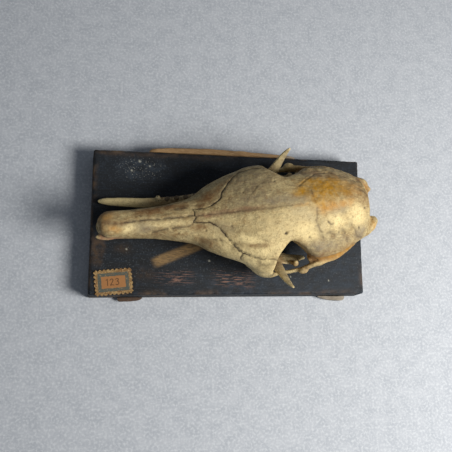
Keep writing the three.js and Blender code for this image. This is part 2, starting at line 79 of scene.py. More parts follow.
# ---- sizes, in millimetres ---------------------------------------------------------------------
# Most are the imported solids' own. This script's own are CREST, which is lower, GUTTER, TIP, the
# seams' paths, the length of the upper teeth, the board's rounding, the reach of the torn wood,
# the inner edge of JUGAL with its flare, and in BALLS the lip, the nose opening and jaw_condyle.

BOARD = {
    "length": 101.2, "front": 52.5, "back": 51.6, "thick": 9.0, "rise": 1.1, "lean": 0.8,
    "round": 0.7,
}
LABEL = {"x": -42.45, "y": -22.2, "length": 13.2, "width": 9.0, "turn": 6.0, "teeth": 9}
SKULL = {"tip": (-49.3, -5.7, 19.3), "yaw": 4.9, "pitch": -2.6, "roll": -3.2}

# Half of each section of the cranium: roof, brow, cheek and gum as (out, up), then the palate.
STATIONS = [
    # back, roof, brow, cheek, gum, palate
    (0.0, 6.4, 1.7, 5.7, 2.4, 3.7, 1.8, 1.8, 1.3),
    (1.2, 8.0, 2.9, 6.9, 3.8, 4.0, 3.0, 0.9, 0.4),
    (4.0, 8.7, 3.4, 7.4, 4.5, 4.2, 3.7, 0.6, 0.0),
    (9.0, 8.9, 3.4, 7.6, 4.5, 4.3, 3.8, 0.4, 0.0),
    (18.0, 9.8, 3.7, 8.4, 5.0, 4.8, 4.2, 0.3, 0.2),
    (26.0, 11.0, 4.7, 9.4, 6.3, 5.0, 5.2, 0.2, 0.4),
    (32.0, 12.2, 5.9, 10.2, 8.0, 5.2, 6.0, 0.0, 0.6),
    (37.0, 13.8, 8.2, 11.4, 11.2, 5.6, 6.4, 0.0, 0.8),
    (42.0, 15.6, 10.6, 12.7, 13.6, 6.2, 6.6, 0.0, 0.8),
    (48.0, 18.0, 13.0, 14.2, 15.8, 6.6, 6.7, 0.0, 0.8),
    (53.0, 19.8, 14.4, 15.2, 18.4, 6.4, 6.9, 0.2, 0.8),
    (57.0, 20.8, 14.8, 15.8, 19.2, 6.2, 7.2, 0.5, 0.8),
    (59.0, 21.2, 13.8, 16.4, 11.6, 8.4, 6.8, 0.9, 0.9),
    (63.0, 21.8, 10.9, 17.6, 7.8, 9.5, 6.2, 1.4, 1.0),
    (68.0, 22.2, 12.0, 16.6, 10.6, 8.6, 7.0, 2.2, 2.4),
    (74.0, 22.4, 13.8, 15.4, 14.6, 8.6, 8.4, 2.4, 2.8),
    (80.0, 22.0, 14.0, 14.6, 15.2, 8.4, 9.0, 2.4, 2.8),
    (86.5, 20.6, 12.4, 13.8, 13.0, 7.8, 8.6, 2.6, 3.0),
    (91.5, 18.6, 10.6, 12.6, 11.4, 7.6, 7.4, 2.9, 3.2),
    (94.2, 15.4, 8.8, 11.4, 9.0, 7.8, 5.8, 3.8, 3.6),
    (96.2, 11.4, 4.8, 10.0, 5.2, 7.8, 3.8, 5.2, 4.8),
]

# Bars along a path: x, y, z of the middle, half width, half depth.
CHEEK_ARCH = [
    (49.5, 15.6, 5.4, 0.6, 1.2),
    (53.0, 17.0, 4.8, 1.0, 3.0),
    (56.5, 18.0, 2.4, 1.2, 3.6),
    (59.6, 18.4, 0.1, 0.9, 2.0),
    (62.6, 18.4, 0.6, 0.7, 1.6),
    (66.5, 18.7, 2.2, 0.7, 1.5),
    (71.0, 18.5, 3.6, 0.9, 1.6),
    (74.5, 17.8, 5.0, 1.0, 1.9),
    (79.0, 16.8, 6.5, 1.1, 2.1),
    (83.5, 15.4, 7.7, 1.2, 2.2),
]
RIGHT_ROOT = [
    (86.2, 11.9, 8.4, 1.2, 2.0),
    (89.0, 10.2, 9.2, 1.2, 1.8),
]
LEFT_ROOT = [
    (86.5, 13.4, 8.4, 1.5, 2.0),
    (89.0, 11.2, 9.2, 1.6, 1.8),
]
CHEEK_SHELF = [
    (72.2, 15.8, 5.0, 0.9, 0.7),
    (74.0, 15.2, 5.5, 2.5, 0.9),
    (78.0, 14.6, 6.3, 3.2, 1.1),
    (83.0, 13.2, 7.3, 3.0, 1.2),
    (87.0, 11.0, 8.2, 2.0, 1.4),
]
PTERYGOID = [
    (57.0, 4.6, 0.6, 0.9, 1.2),
    (62.0, 4.3, -0.4, 0.7, 1.9),
    (67.0, 4.4, 0.0, 0.7, 2.3),
    (71.0, 5.2, 1.9, 0.8, 1.4),
]
MASTOID = [
    (84.0, 10.6, 6.0, 1.6, 2.6),
    (89.0, 10.8, 5.0, 1.6, 2.8),
    (92.0, 9.6, 4.6, 1.2, 1.8),
]
GUTTER = [
    (72.2, -13.6, 6.9, 1.6, 1.5),
    (75.0, -13.8, 7.6, 2.6, 2.2),
    (79.0, -13.6, 7.8, 2.8, 2.3),
    (84.0, -12.4, 8.0, 2.4, 2.0),
]
RIGHT_CORNER = [
    (86.0, 10.6, 8.4, 1.4, 2.4),
    (90.5, 10.2, 8.8, 1.8, 2.8),
    (94.8, 9.2, 8.8, 1.8, 2.8),
    (98.6, 6.0, 8.6, 1.2, 1.8),
]
LEFT_CORNER = [
    (88.0, -11.2, 8.0, 1.4, 2.6),
    (92.0, -9.9, 8.2, 1.8, 3.2),
    (95.6, -7.8, 8.4, 2.0, 3.2),
    (98.0, -5.0, 8.0, 1.6, 2.4),
]
CREST = [
    (89.0, 11.2, 9.0, 0.4, 0.5),
    (91.6, 9.6, 12.4, 0.4, 0.5),
    (92.3, 5.6, 16.2, 0.4, 0.5),
    (92.6, 0.0, 17.9, 0.3, 0.4),
    (92.3, -5.6, 16.2, 0.3, 0.4),
    (91.6, -9.6, 12.4, 0.4, 0.5),
    (89.0, -11.2, 9.0, 0.4, 0.5),
]
UNDERCUT = [
    (29.0, 9.4, 0.0, 1.0, 1.6),
    (36.0, 10.0, 0.6, 3.0, 3.6),
    (44.0, 11.0, 0.8, 3.7, 4.2),
    (52.0, 12.2, 1.0, 4.8, 4.8),
    (60.0, 12.6, 1.2, 4.2, 5.0),
    (67.0, 11.6, 1.6, 4.0, 4.6),
    (72.0, 12.0, 1.0, 2.0, 2.0),
]
JAW_BODY = [
    (0.0, 3.0, 1.9, 0.5, 0.6),
    (3.0, 2.4, 2.2, 1.1, 1.5),
    (9.0, 1.4, 2.3, 1.4, 1.9),
    (18.0, 0.1, 2.5, 1.5, 2.2),
    (30.0, -0.6, 2.9, 1.7, 2.7),
    (42.0, 0.4, 3.4, 1.7, 3.2),
    (52.0, 1.6, 4.0, 1.5, 3.8),
    (60.0, 2.2, 4.9, 1.2, 4.5),
    (66.0, 2.7, 5.0, 0.9, 4.0),
    (70.0, 2.4, 3.8, 0.7, 2.4),
    (73.0, 1.9, 3.2, 0.5, 1.0),
]
CORONOID = [
    (58.6, 2.2, 5.6, 0.9, 4.2),
    (61.2, 2.8, 10.4, 0.85, 2.8),
    (62.6, 3.2, 14.6, 0.8, 2.0),
    (63.6, 3.6, 18.2, 0.7, 1.5),
    (64.9, 4.0, 21.6, 0.55, 1.0),
    (66.1, 4.2, 23.9, 0.3, 0.4),
]
CONDYLE_NECK = [
    (66.4, 2.5, 5.4, 0.8, 2.4),
    (67.8, 2.3, 8.2, 0.8, 1.6),
    (68.5, 1.6, 10.6, 0.8, 1.1),
]
JAWS = {
    "right": {"at": (-48.0, 2.55, 10.1), "yaw": 7.0, "lean": 18.0, "pitch": 1.3},
    "left": {"at": (-46.4, -0.7, 10.2), "yaw": -6.9, "lean": 37.0, "pitch": 2.0},
}
UPPER_TEETH = {
    "count": 7, "first": 30.5, "pitch": 3.2, "out": (4.9, 5.6), "radius": 1.05, "long": 1.6,
}
LOWER_TEETH = {"count": 8, "first": 20.5, "pitch": 3.3, "radius": 0.95, "whole": 1.6, "stump": 0.5}
LOPSIDED = {"cheek": 1.2, "cheek_at": 57.0, "span": 10.0, "back": 1.2, "from": 75.0, "to": 94.0}
TIP = 3.6  # how far back the snout's tip is rounded
SWELL = {"at": 73.0, "span": 6.0, "out": 1.1, "down": 1.2, "from": 8.0, "to": 14.0}

# Knobs and round openings: middle, half sizes, and turn about the upright in radians.
BALLS = {
    "right_condyle": ((95.8, 4.2, 6.4), (2.9, 2.4, 3.3), 0.35),
    "left_condyle": ((97.2, -4.5, 6.6), (3.4, 2.4, 3.3), -0.35),
    "lip": ((2.6, -3.9, 2.7), (3.4, 1.0, 1.0), -0.1),
    "knob": ((70.3, 19.2, 4.3), (1.9, 1.4, 1.5), 0.0),
    "spinal_opening": ((97.4, 0, 8.2), (5.4, 3.3, 3.1), 0.0),
    "nose_opening": ((-0.9, 0, 3.7), (3.6, 2.1, 1.6), 0.0),
    "orbit_opening": ((46.5, 14.2, 3.9), (3.4, 1.3, 1.3), 0.0),
    "palate_opening": ((66.0, 0, 0.6), (6.0, 2.7, 2.3), 0.0),
    "jaw_condyle": ((68.4, 1.5, 10.6), (1.0, 1.3, 0.8), 0.0),
}
EAR_RING = {"middle": (79.5, 9.4, 2.4), "radius": 2.5, "thick": 0.75, "tilt": 61.0, "turn": 14.0}

# Where the skull is cut apart: the box round each cheek arch and the block in front of the seam,
# both of which reach this far to the side.
REACH = 30.0
JUGAL = {"from": 58.6, "to": 72.3, "inner": 14.75, "flare": 1.7, "low": -12.0, "high": 16.0}
FACE_BLOCK = {"back": 59.6, "front": -15.0, "low": -20.0, "high": 40.0}

# The seam between face and forehead, seen from above, from the near orbit to the far one.
FACE_SEAM = [
    (59.6, -17.1), (57.2, -17.3), (54.5, -17.0), (52.0, -16.6), (49.4, -15.4), (46.6, -14.1),
    (44.9, -12.8), (42.1, -9.6), (40.2, -7.0), (38.7, -4.8), (36.3, -3.2), (34.4, -2.9),
    (32.5, -2.7), (31.0, -2.4), (31.4, -1.6), (32.0, -0.6), (31.4, 0.0), (31.5, 1.2),
    (30.9, 2.2), (32.5, 2.0), (34.6, 1.9), (36.2, 2.2), (37.6, 2.8), (39.4, 3.9), (40.4, 4.8),
    (41.1, 6.8), (42.7, 8.8), (45.3, 11.7), (46.1, 12.5), (48.2, 14.0), (51.0, 14.9),
    (54.0, 15.2), (57.4, 15.3), (59.6, 15.1),
]

# Closed seams and cracks that show only as fine grooves: path seen from above, depth, darkness.
GROOVES = [
    ([(31.0, -2.4), (29.6, -3.5), (28.0, -3.6), (21.7, -3.7), (17.5, -4.3)], 0.16, 0.55),
    ([(30.9, 2.2), (28.4, 2.9), (27.1, 2.7), (24.0, 2.8)], 0.16, 0.6),
    ([(31.4, 0.0), (28.3, -0.4), (22.0, -0.3), (16.9, -0.4), (12.0, -0.6), (8.4, -0.8)], 0.26, 0.8),
    ([(8.4, -0.8), (4.6, -0.9), (1.6, -0.8)], 0.14, 0.25),
    ([(32.0, -0.4), (36.0, -0.5), (41.9, -0.7), (47.0, -0.9)], 0.16, 0.5),
    ([(47.0, -0.9), (55.1, -1.1), (60.0, -0.7), (66.0, -0.6), (70.5, -0.9)], 0.1, 0.3),
    (
        [(70.2, 4.6), (70.5, 1.0), (71.2, -2.0), (70.8, -6.0), (71.8, -8.3), (73.9, -11.3)],
        0.08, 0.35,
    ),
    ([(75.2, -6.6), (76.2, -7.4), (77.4, -7.2)], 0.3, 0.9),
    ([(46.6, -14.1), (46.0, -15.0), (46.6, -16.0), (45.9, -17.2)], 0.25, 0.85),
    ([(51.0, -16.8), (52.2, -18.2), (54.2, -18.6), (56.5, -18.2)], 0.12, 0.35),
    ([(66.5, 6.4), (71.0, 9.6), (74.5, 11.6), (80.0, 12.2), (85.0, 10.6), (90.5, 8.6)], 0.3, 0.4),
    ([(80.5, -9.0), (82.5, -10.2), (84.0, -12.5)], 0.08, 0.3),
    ([(84.5, -7.5), (86.5, -8.6), (88.0, -10.5), (90.5, -10.8)], 0.1, 0.35),
    ([(72.5, -9.4), (74.5, -10.4), (76.0, -9.8), (78.5, -10.8)], 0.06, 0.3),
    ([(88.0, 6.0), (91.5, 4.0), (94.0, 1.0), (95.0, -2.0)], 0.16, 0.35),
    ([(36.0, -8.3), (41.0, -9.3), (46.0, -12.0)], 0.1, 0.3),
    ([(50.0, 4.5), (53.0, 8.0), (57.0, 9.5)], 0.1, 0.3),
]

# Stains and weathering on the skull, and painted light and shade where noted: kind, (x, y, z) of
# the middle, half sizes, turn, strength.
SKULL_MARKS = [
    ("ochre", (76.0, 5.2, 20.5), (7.6, 4.2, 6.0), 12, 1.0),
    ("ochre", (67.0, 4.6, 20.5), (3.6, 1.6, 6.0), 25, 1.0),
    ("ochre", (71.6, 8.2, 19.5), (4.4, 1.6, 6.0), 15, 0.8),
    ("ochre", (71.6, 1.2, 21.5), (3.6, 1.8, 6.0), -50, 0.8),
    ("ochre", (82.5, 4.0, 20.5), (3.0, 2.0, 6.0), 0, 0.6),
    ("orange", (75.5, -1.8, 21.5), (4.6, 2.0, 6.0), 5, 0.9),
    ("orange", (82.0, -1.0, 21.0), (4.0, 1.2, 6.0), 15, 0.8),
    ("orange", (86.5, 5.0, 18.5), (4.0, 3.0, 8.0), 0, 0.4),
    ("brown", (84.0, 3.6, 19.0), (5.5, 2.6, 8.0), -10, 0.55),
    ("brown", (90.5, 2.6, 18.0), (3.0, 4.2, 8.0), 10, 0.6),
    ("brown", (81.0, 9.5, 16.0), (8.0, 1.8, 6.0), -12, 0.6),
    ("brown", (74.0, 12.6, 16.0), (7.0, 1.4, 4.0), -5, 0.5),
    ("grey", (74.2, 11.0, 17.0), (6.5, 2.4, 6.0), -10, 0.8),
    ("grey", (85.0, 11.0, 14.0), (5.0, 2.4, 6.0), -25, 0.5),
    ("grey", (61.0, 1.5, 21.0), (10.0, 1.6, 6.0), 0, 0.8),
    ("grey", (50.0, 3.0, 18.0), (9.0, 3.0, 6.0), 10, 0.5),
    ("grey", (66.5, -3.8, 21.0), (5.0, 2.0, 6.0), -20, 0.6),
    ("grey", (79.0, -3.6, 20.5), (3.6, 1.6, 6.0), 20, 0.6),
    ("grey", (73.0, -8.6, 18.5), (1.6, 3.0, 6.0), -15, 0.6),
    ("grey", (74.5, -13.6, 14.5), (5.5, 2.4, 4.0), 0, 0.9),
    ("grey", (82.0, -12.0, 14.0), (3.4, 1.6, 4.0), 0, 0.5),
    ("grey", (89.3, -9.4, 14.5), (3.0, 2.2, 4.0), 30, 0.9),
    ("grey", (14.5, -2.6, 8.6), (4.5, 1.5, 3.0), 0, 0.8),
    ("grey", (51.0, 9.5, 16.5), (10.0, 5.0, 6.0), 0, 0.5),
    ("grey", (40.0, -5.4, 14.0), (4.5, 1.6, 4.0), -15, 0.5),
    ("orange", (66.5, -0.9, 22.0), (2.6, 0.7, 4.0), 10, 0.8),
    ("cream", (70.5, -0.2, 22.4), (3.2, 0.6, 4.0), 0, 0.9),
    ("pink", (38.0, -0.6, 14.5), (6.0, 1.0, 4.0), 0, 0.7),
    ("pink", (48.0, -0.6, 17.5), (8.0, 0.8, 4.0), 0, 0.5),
    # The cream patches from here to the one at (42.0, -3.5) lie on the near side, turned to the
    # lamp: bleached bone, with painted light brightening that side.
    ("cream", (68.0, -8.8, 19.0), (7.0, 3.2, 6.0), 0, 0.8),
    ("cream", (77.5, -6.8, 19.5), (4.4, 2.4, 6.0), 0, 0.85),
    ("cream", (87.0, -4.4, 18.0), (4.5, 3.6, 6.0), 0, 0.8),
    ("cream", (48.6, -10.3, 15.8), (4.4, 1.2, 3.0), -12, 1.6),
    ("cream", (52.0, -8.6, 17.0), (2.0, 0.8, 3.0), -12, 0.8),
    ("cream", (55.5, -13.4, 16.0), (4.5, 2.0, 4.0), 10, 0.9),
    ("cream", (42.0, -9.6, 10.0), (9.0, 2.6, 5.0), -32, 0.85),
    ("cream", (50.0, -15.4, 12.0), (8.0, 3.6, 6.0), -12, 1.1),
    ("cream", (56.0, -19.0, 8.0), (6.0, 3.6, 8.0), 0, 0.6),
    ("cream", (64.0, -5.0, 20.0), (10.0, 5.0, 8.0), 0, 0.5),
    ("cream", (56.5, -9.5, 18.0), (6.5, 4.0, 8.0), 0, 0.55),
    ("cream", (53.0, -5.6, 18.0), (6.0, 3.0, 8.0), 0, 0.45),
    ("cream", (40.8, -11.1, 11.5), (3.5, 1.2, 3.0), -40, 0.9),
    ("cream", (33.6, -6.6, 10.0), (2.4, 1.0, 3.0), -20, 0.5),
    ("cream", (42.0, -3.5, 15.8), (5.0, 1.6, 4.0), 0, 0.35),
    ("cream", (9.6, -2.5, 8.4), (3.0, 1.3, 3.0), 0, 0.9),
    ("cream", (22.0, -2.0, 9.8), (6.5, 0.9, 3.0), 0, 0.7),
    ("cream", (5.0, 3.0, 7.6), (5.0, 0.9, 2.0), 0, 0.5),
    ("brown", (51.5, -12.6, 15.0), (4.6, 0.8, 3.0), -5, 0.7),
    ("brown", (36.3, 5.4, 12.2), (3.6, 1.8, 3.0), 35, 0.9),
    ("brown", (41.0, 9.0, 13.0), (4.0, 0.9, 3.0), 40, 0.6),
    ("brown", (34.0, 3.0, 12.4), (2.6, 0.9, 2.0), 10, 0.8),
    ("brown", (33.5, -4.8, 10.8), (3.4, 1.3, 3.0), -15, 0.7),
    ("brown", (36.0, -9.0, 9.0), (4.0, 1.2, 3.0), -30, 0.6),
    ("brown", (22.0, 3.2, 8.4), (10.0, 1.6, 3.0), 4, 1.05),
    ("brown", (22.0, -5.4, 7.0), (8.0, 0.8, 3.0), -4, 0.4),
    ("brown", (16.0, 0.8, 9.2), (9.0, 0.5, 3.0), 0, 0.4),
    ("orange", (2.6, 1.4, 8.2), (2.2, 1.0, 3.0), 0, 0.8),
    ("orange", (5.2, -2.4, 8.3), (2.4, 1.0, 3.0), 0, 0.9),
    ("brown", (2.8, -1.0, 7.8), (3.4, 1.0, 3.0), 20, 0.7),
    ("brown", (3.0, 3.0, 6.6), (4.2, 2.2, 5.0), 0, 0.85),
    ("brown", (2.4, 0.6, 6.0), (3.0, 3.6, 5.0), 0, 0.8),
    ("brown", (6.4, -0.7, 8.6), (4.0, 0.8, 2.0), 0, 0.6),
    ("pink", (3.4, -4.6, 3.0), (5.0, 1.4, 1.6), 0, 1.0),
    ("dark", (1.0, -3.9, 4.2), (2.6, 0.5, 0.5), -15, 1.0),
    # In the near gutter the orange and brown are stain and painted shade, and the cream along its
    # outer edge is a painted highlight on the rim.
    ("orange", (79.5, -16.0, 8.2), (9.0, 2.6, 2.6), -14, 0.55),
    ("brown", (78.0, -14.4, 8.0), (10.0, 2.8, 4.0), 10, 1.6),
    ("grey", (78.0, -14.0, 8.6), (9.0, 2.4, 4.0), 10, 0.9),
    ("ochre", (82.0, -13.6, 8.6), (6.0, 2.6, 3.0), 10, 0.7),
    ("cream", (78.5, -17.9, 7.6), (7.5, 0.6, 2.4), 0, 0.9),
    # On the far cheek shelf behind the coronoid the brown and dark are stain and painted shade.
    ("orange", (78.5, 15.0, 8.0), (9.0, 3.4, 3.0), -18, 0.5),
    ("brown", (77.0, 14.2, 8.6), (10.0, 4.6, 4.6), -12, 1.0),
    ("dark", (73.5, 15.4, 7.0), (4.0, 1.6, 3.0), -12, 0.8),
    ("brown", (70.4, -19.6, 4.8), (2.2, 1.6, 2.4), 0, 0.9),
    ("dark", (69.2, -19.6, 5.6), (0.7, 0.6, 0.8), 0, 1.0),
    ("dark", (71.4, -19.2, 5.4), (0.5, 0.5, 0.6), 0, 1.0),
    ("orange", (96.6, -5.0, 9.0), (1.6, 4.5, 6.0), 20, 0.7),
    ("brown", (93.5, 9.2, 11.5), (4.6, 2.6, 6.0), -40, 1.0),
    ("brown", (88.0, 6.5, 16.0), (6.0, 2.6, 6.0), -30, 0.5),
    ("orange", (96.5, 7.5, 10.5), (2.5, 1.5, 5.0), -40, 0.5),
    ("grey", (98.0, 6.6, 9.5), (1.6, 1.6, 5.0), 0, 0.7),
    ("dark", (60.1, -9.6, 19.0), (0.5, 0.35, 2.0), 0, 1.0),
    ("dark", (39.5, -9.0, 12.0), (0.5, 0.3, 2.0), 0, 0.7),
    ("brown", (65.6, -12.0, 13.0), (2.2, 1.2, 4.0), 0, 0.6),
    # A broad brown over the whole underside, round the palate, darkens the skull from below.
    ("brown", (50.0, 0.0, 0.0), (40.0, 8.0, 4.0), 0, 0.4),
]
JAW_MARKS = [
    # The cream at the tip is partly bleached bone and partly painted light, against the snout's
    # shadow on the far jaw.
    ("cream", (9.0, 1.4, 3.8), (14.0, 3.4, 3.8), 0, 1.5),
    ("grey", (15.0, 0.6, 2.0), (5.0, 2.0, 2.4), 0, 0.4),
    ("brown", (26.0, -0.4, 4.6), (9.0, 2.4, 2.6), 0, 0.9),
    ("brown", (40.0, 0.2, 5.6), (9.0, 2.8, 3.2), 0, 0.9),
    ("brown", (54.0, 1.4, 6.0), (8.0, 3.0, 5.0), 0, 0.7),
    ("cream", (63.0, 4.0, 15.0), (1.2, 1.6, 8.0), 0, 0.6),
    ("grey", (63.5, 3.4, 16.0), (4.0, 3.0, 8.0), 0, 0.8),
    ("grey", (65.4, 4.0, 22.6), (2.0, 2.0, 2.2), 0, 0.7),
    ("brown", (61.0, 2.4, 9.0), (4.0, 3.0, 5.0), 0, 0.6),
    ("brown", (68.5, 1.5, 10.4), (2.4, 2.6, 2.6), 0, 1.0),
    ("grey", (68.5, 1.5, 10.4), (2.4, 2.6, 2.6), 0, 0.7),
    # These two dark streaks along the top of the bow, behind the first tooth, are painted shade
    # from the skull.
    ("dark", (26.0, -0.3, 5.8), (7.0, 0.8, 1.0), 0, 0.8),
    ("dark", (40.0, 0.2, 6.6), (9.0, 0.8, 1.0), 0, 0.8),
]
# The kinds of stain, some of which also paint light and shade, in the order in which they lie
# over one another.
MARK_KINDS = ("grey", "cream", "brown", "orange", "ochre", "pink", "dark")
SEAM_HALF, GROOVE_HALF = 0.2, 0.24  # half widths

# Small openings for nerves and vessels: x, y, radius, depth.
PITS = [
    (60.1, -9.6, 0.45, 0.5), (58.4, 8.8, 0.35, 0.3), (42.9, -5.2, 0.3, 0.25),
    (88.6, -8.0, 0.4, 0.4), (34.8, -5.6, 0.3, 0.3), (79.6, -9.8, 0.35, 0.3),
    (85.2, -5.0, 0.3, 0.25), (26.2, -5.2, 0.3, 0.25), (68.8, -11.0, 0.35, 0.3),
    (47.6, 5.6, 0.3, 0.2), (90.4, -1.8, 0.4, 0.35), (82.0, -3.6, 0.3, 0.2),
]

# Wear of the board's top: strength, then x, y, half x, half y and the two powers of the fading.
SCORED = [(1.0, -21.0, -20.2, 6.5, 2.2, 4, 4), (1.0, 0.5, -20.6, 7.0, 3.0, 4, 4)]
STAINED = [
    (0.9, -48.2, -11.2, 2.0, 4.8, 4, 4), (0.6, -39.5, -10.5, 2.6, 1.4, 2, 2),
    (0.5, -32.0, -19.0, 3.0, 2.0, 2, 2), (0.5, -27.0, 24.6, 26.0, 1.0, 6, 2),
    (0.6, 39.0, -25.0, 7.0, 0.8, 4, 2),
]
DUSTED = [(0.6, -33.0, 19.0, 9.0, 4.5, 4, 4)]
SPECKED = [(1.0, -33.5, 19.2, 7.5, 3.8, 4, 4)]
# The slanting bar where something rubbed: its start, its direction, and the fading of its ends and
# its sides.
RUB = {
    "at": (-28.3, -15.2), "way": (0.92, 0.39), "start": (-1.5, 1.5), "end": (16, 23),
    "half": (1.1, 2.4),
}
# Single pale spots: x, y, radius.
SPOTS = [
    (-8.5, -14.1, 0.32), (36.6, -20.6, 0.25), (-38.1, -10.5, 0.3), (21.8, -19.4, 0.22),
    (-33.8, 22.0, 0.4), (-36.6, 18.4, 0.35), (-30.1, 20.3, 0.3),
]

# Torn wood on the board's long sides (1 is the far one): its solid, its bottom and top, how grey
# it is and between which x that sets in, its seed and tones, and rows of x and how far it stands
# out.
TORN_WOOD = {
    "wood_strip": {
        "node": "edge_strip", "side": 1, "low": 3.4, "high": 8.6, "grey": (0.7, 8, 22), "seed": 131,
        "tones": {"dark": "8a6844", "pale": "d0b58a", "grey": "8f8a80", "paint": "2a2622"},
        "rows": [
            (-30.0, 0.9), (-28.6, 1.6), (-20.0, 2.05), (-6.0, 2.35), (2.0, 2.05), (8.0, 1.7),
            (17.0, 1.25), (25.0, 0.9), (26.0, 0.4),
        ],
    },
    "left_splinter": {
        "node": "splinter_left", "side": -1, "low": 1.2, "high": 2.4, "grey": (0.4, -99, -98),
        "seed": 141,
        "tones": {"dark": "2a1e17", "pale": "7a563c", "grey": "4a3a2e", "paint": "1c1a18"},
        "rows": [(-40.6, 0.8), (-40.0, 1.4), (-36.2, 1.35), (-32.8, 0.9), (-31.8, 0.3)],
    },
    "right_splinter": {
        "node": "splinter_right", "side": -1, "low": 1.0, "high": 3.0, "grey": (0.4, -99, -98),
        "seed": 151,
        "tones": {"dark": "4a4038", "pale": "b8ad9c", "grey": "8f877a", "paint": "2a2622"},
        "rows": [(34.4, 0.3), (36.4, 1.0), (40.0, 1.5), (43.6, 1.7), (44.8, 1.1), (45.0, 0.5)],
    },
}

# Strokes of the label's plain number, from the label's middle.
NUMERALS = [
    [(-2.5, 0.75), (-2.0, 1.15), (-2.1, -1.1)],
    [
        (-1.15, 0.7), (-0.75, 1.1), (-0.25, 1.05), (-0.1, 0.6), (-0.45, -0.1), (-1.15, -1.05),
        (-0.55, -0.95), (0.05, -1.1),
    ],
    [
        (0.75, 0.85), (1.15, 1.15), (1.65, 1.0), (1.7, 0.55), (1.25, 0.2), (1.75, -0.15),
        (1.8, -0.7), (1.35, -1.1), (0.75, -0.9),
    ],
]

# The camera, as worked out from the board's corners: where it stands, in millimetres, and its
# right, up and view.
CAMERA = {
    "at": (-57.06, -56.01, 252.73),
    "right": (0.9762, -0.0170, 0.2162),
    "up": (-0.0302, 0.9765, 0.2133),
    "view": (0.2147, 0.2147, -0.9528),
    "lens": 55.75,
    "sensor": 36.0,
}
# The lamp's direction from the board, its distance and width in metres, its watts and colour.
LIGHT = {
    "toward": (0.82, -0.42, 1.0), "away": 0.35, "across": 0.16, "power": 1.6, "colour": "fffaf2",
}
LIT_POINT = (0, 0, 0.01)
SKY = {"colour": "dfe6f0", "strength": 0.19}
BACKDROP = {"reach": 700.0, "cells": 8}


# ---- small tools -------------------------------------------------------------------------------

def linear(code):
    """An sRGB hex value as linear red, green, blue and 1: below 0.04045 the share is divided by
    12.92, and above it is ((share + 0.055) / 1.055) to the power 2.4."""
    share = np.array([int(code[i:i + 2], 16) / 255 for i in (0, 2, 4)])
    low, high = share / 12.92, ((share + 0.055) / 1.055) ** 2.4
    return (*np.where(share <= 0.04045, low, high).tolist(), 1.0)


def smooth(x, low, high):
    """0 below low, 1 above high, and 3u^2 - 2u^3 between, where u is the share of the way."""
    u = np.clip((np.asarray(x, float) - low) / (high - low), 0, 1)
    return u * u * (3 - 2 * u)


def noise(points, size, seed):
    """A soft random field from -1 to 1: values on a cubic lattice of the given pitch, blended with
    6u^5 - 15u^4 + 10u^3 along each axis."""
    table = np.random.default_rng(seed).uniform(-1, 1, (32, 32, 32))
    spot = np.asarray(points, float) / size + 500.0
    cell = np.floor(spot).astype(int)
    u = spot - cell
    u = u * u * u * (u * (u * 6 - 15) + 10)
    total = 0
    for corner in np.ndindex(2, 2, 2):
        i, j, k = ((cell + corner) % 32).T
        share = np.where(corner, u, 1 - u).prod(axis=1)
        total = total + share * table[i, j, k]
    return total


def layered(points, size, seed, layers=3):
    """Noise added to itself at half the pitch and half the height, layer by layer."""
    parts = [noise(points, size / 2 ** k, seed + k) / 2 ** k for k in range(layers)]
    return sum(parts) / (2 - 0.5 ** (layers - 1))


def curve(knots):
    """A cubic through rows of (at, values...). Each inner slope is the harmonic mean of the steps
    beside it, and 0 where they turn back, so no value overshoots its knots."""
    rows = np.asarray(knots, float)
    at, value = rows[:, 0], rows[:, 1:]
    step = np.diff(value, axis=0) / np.diff(at)[:, None]
    turn = step[:-1] * step[1:]
    whole = np.where(turn > 0, step[:-1] + step[1:], 1)
    slope = np.vstack([step[:1], np.where(turn > 0, 2 * turn / whole, 0), step[-1:]])

    def sample(x):
        x = np.asarray(x, float)
        i = np.clip(np.searchsorted(at, x, side="right") - 1, 0, len(step) - 1)
        span = (at[i + 1] - at[i])[..., None]
        u = np.clip((x - at[i])[..., None] / span, 0, 1)
        low, high = value[i] * (1 + 2 * u) * (1 - u) ** 2, value[i + 1] * u * u * (3 - 2 * u)
        return low + high + span * (slope[i] * u * (1 - u) ** 2 - slope[i + 1] * u * u * (1 - u))

    return sample


def rounded(points, share):
    """A Catmull-Rom curve through points, open, at shares from 0 to 1 of its count of spans."""
    points = np.asarray(points, float)
    ends = np.vstack([2 * points[0] - points[1], points, 2 * points[-1] - points[-2]])
    u = np.clip(share, 0, 1) * (len(points) - 1)
    i = np.minimum(u.astype(int), len(points) - 2)
    w = (u - i)[:, None]
    a, b, c, d = ends[i], ends[i + 1], ends[i + 2], ends[i + 3]
    return 0.5 * (2 * b + (c - a) * w + (2 * a - 5 * b + 4 * c - d) * w ** 2
                  + (3 * b - a - 3 * c + d) * w ** 3)


def closed(grid):
    """A closed skin from rings of points (rings, around, 3): quads between the rings and a fan to
    the middle of each end ring. Its faces are turned outwards by the sign of its volume."""
    rings, around, _ = grid.shape
    points = np.vstack([grid.reshape(-1, 3), grid[0].mean(0), grid[-1].mean(0)])
    i, j = np.meshgrid(np.arange(rings - 1), np.arange(around), indexing="ij")
    k = (j + 1) % around
    here, ahead = i * around, (i + 1) * around
    quads = np.stack([here + j, here + k, ahead + k, ahead + j], -1).reshape(-1, 4)
    a = np.arange(around)
    b = (a + 1) % around
    last = (rings - 1) * around
    first_cap = np.stack([b, a, np.full(around, rings * around)], -1)
    last_cap = np.stack([last + a, last + b, np.full(around, rings * around + 1)], -1)
    fans = np.vstack([first_cap, last_cap])
    faces = np.vstack([quads[:, [0, 1, 2]], quads[:, [0, 2, 3]], fans])
    p, q, r = (points[faces[:, n]] for n in range(3))
    if np.einsum("ij,ij->", p, np.cross(q, r)) < 0:
        quads, fans = quads[:, ::-1], fans[:, ::-1]
    return points, quads, fans


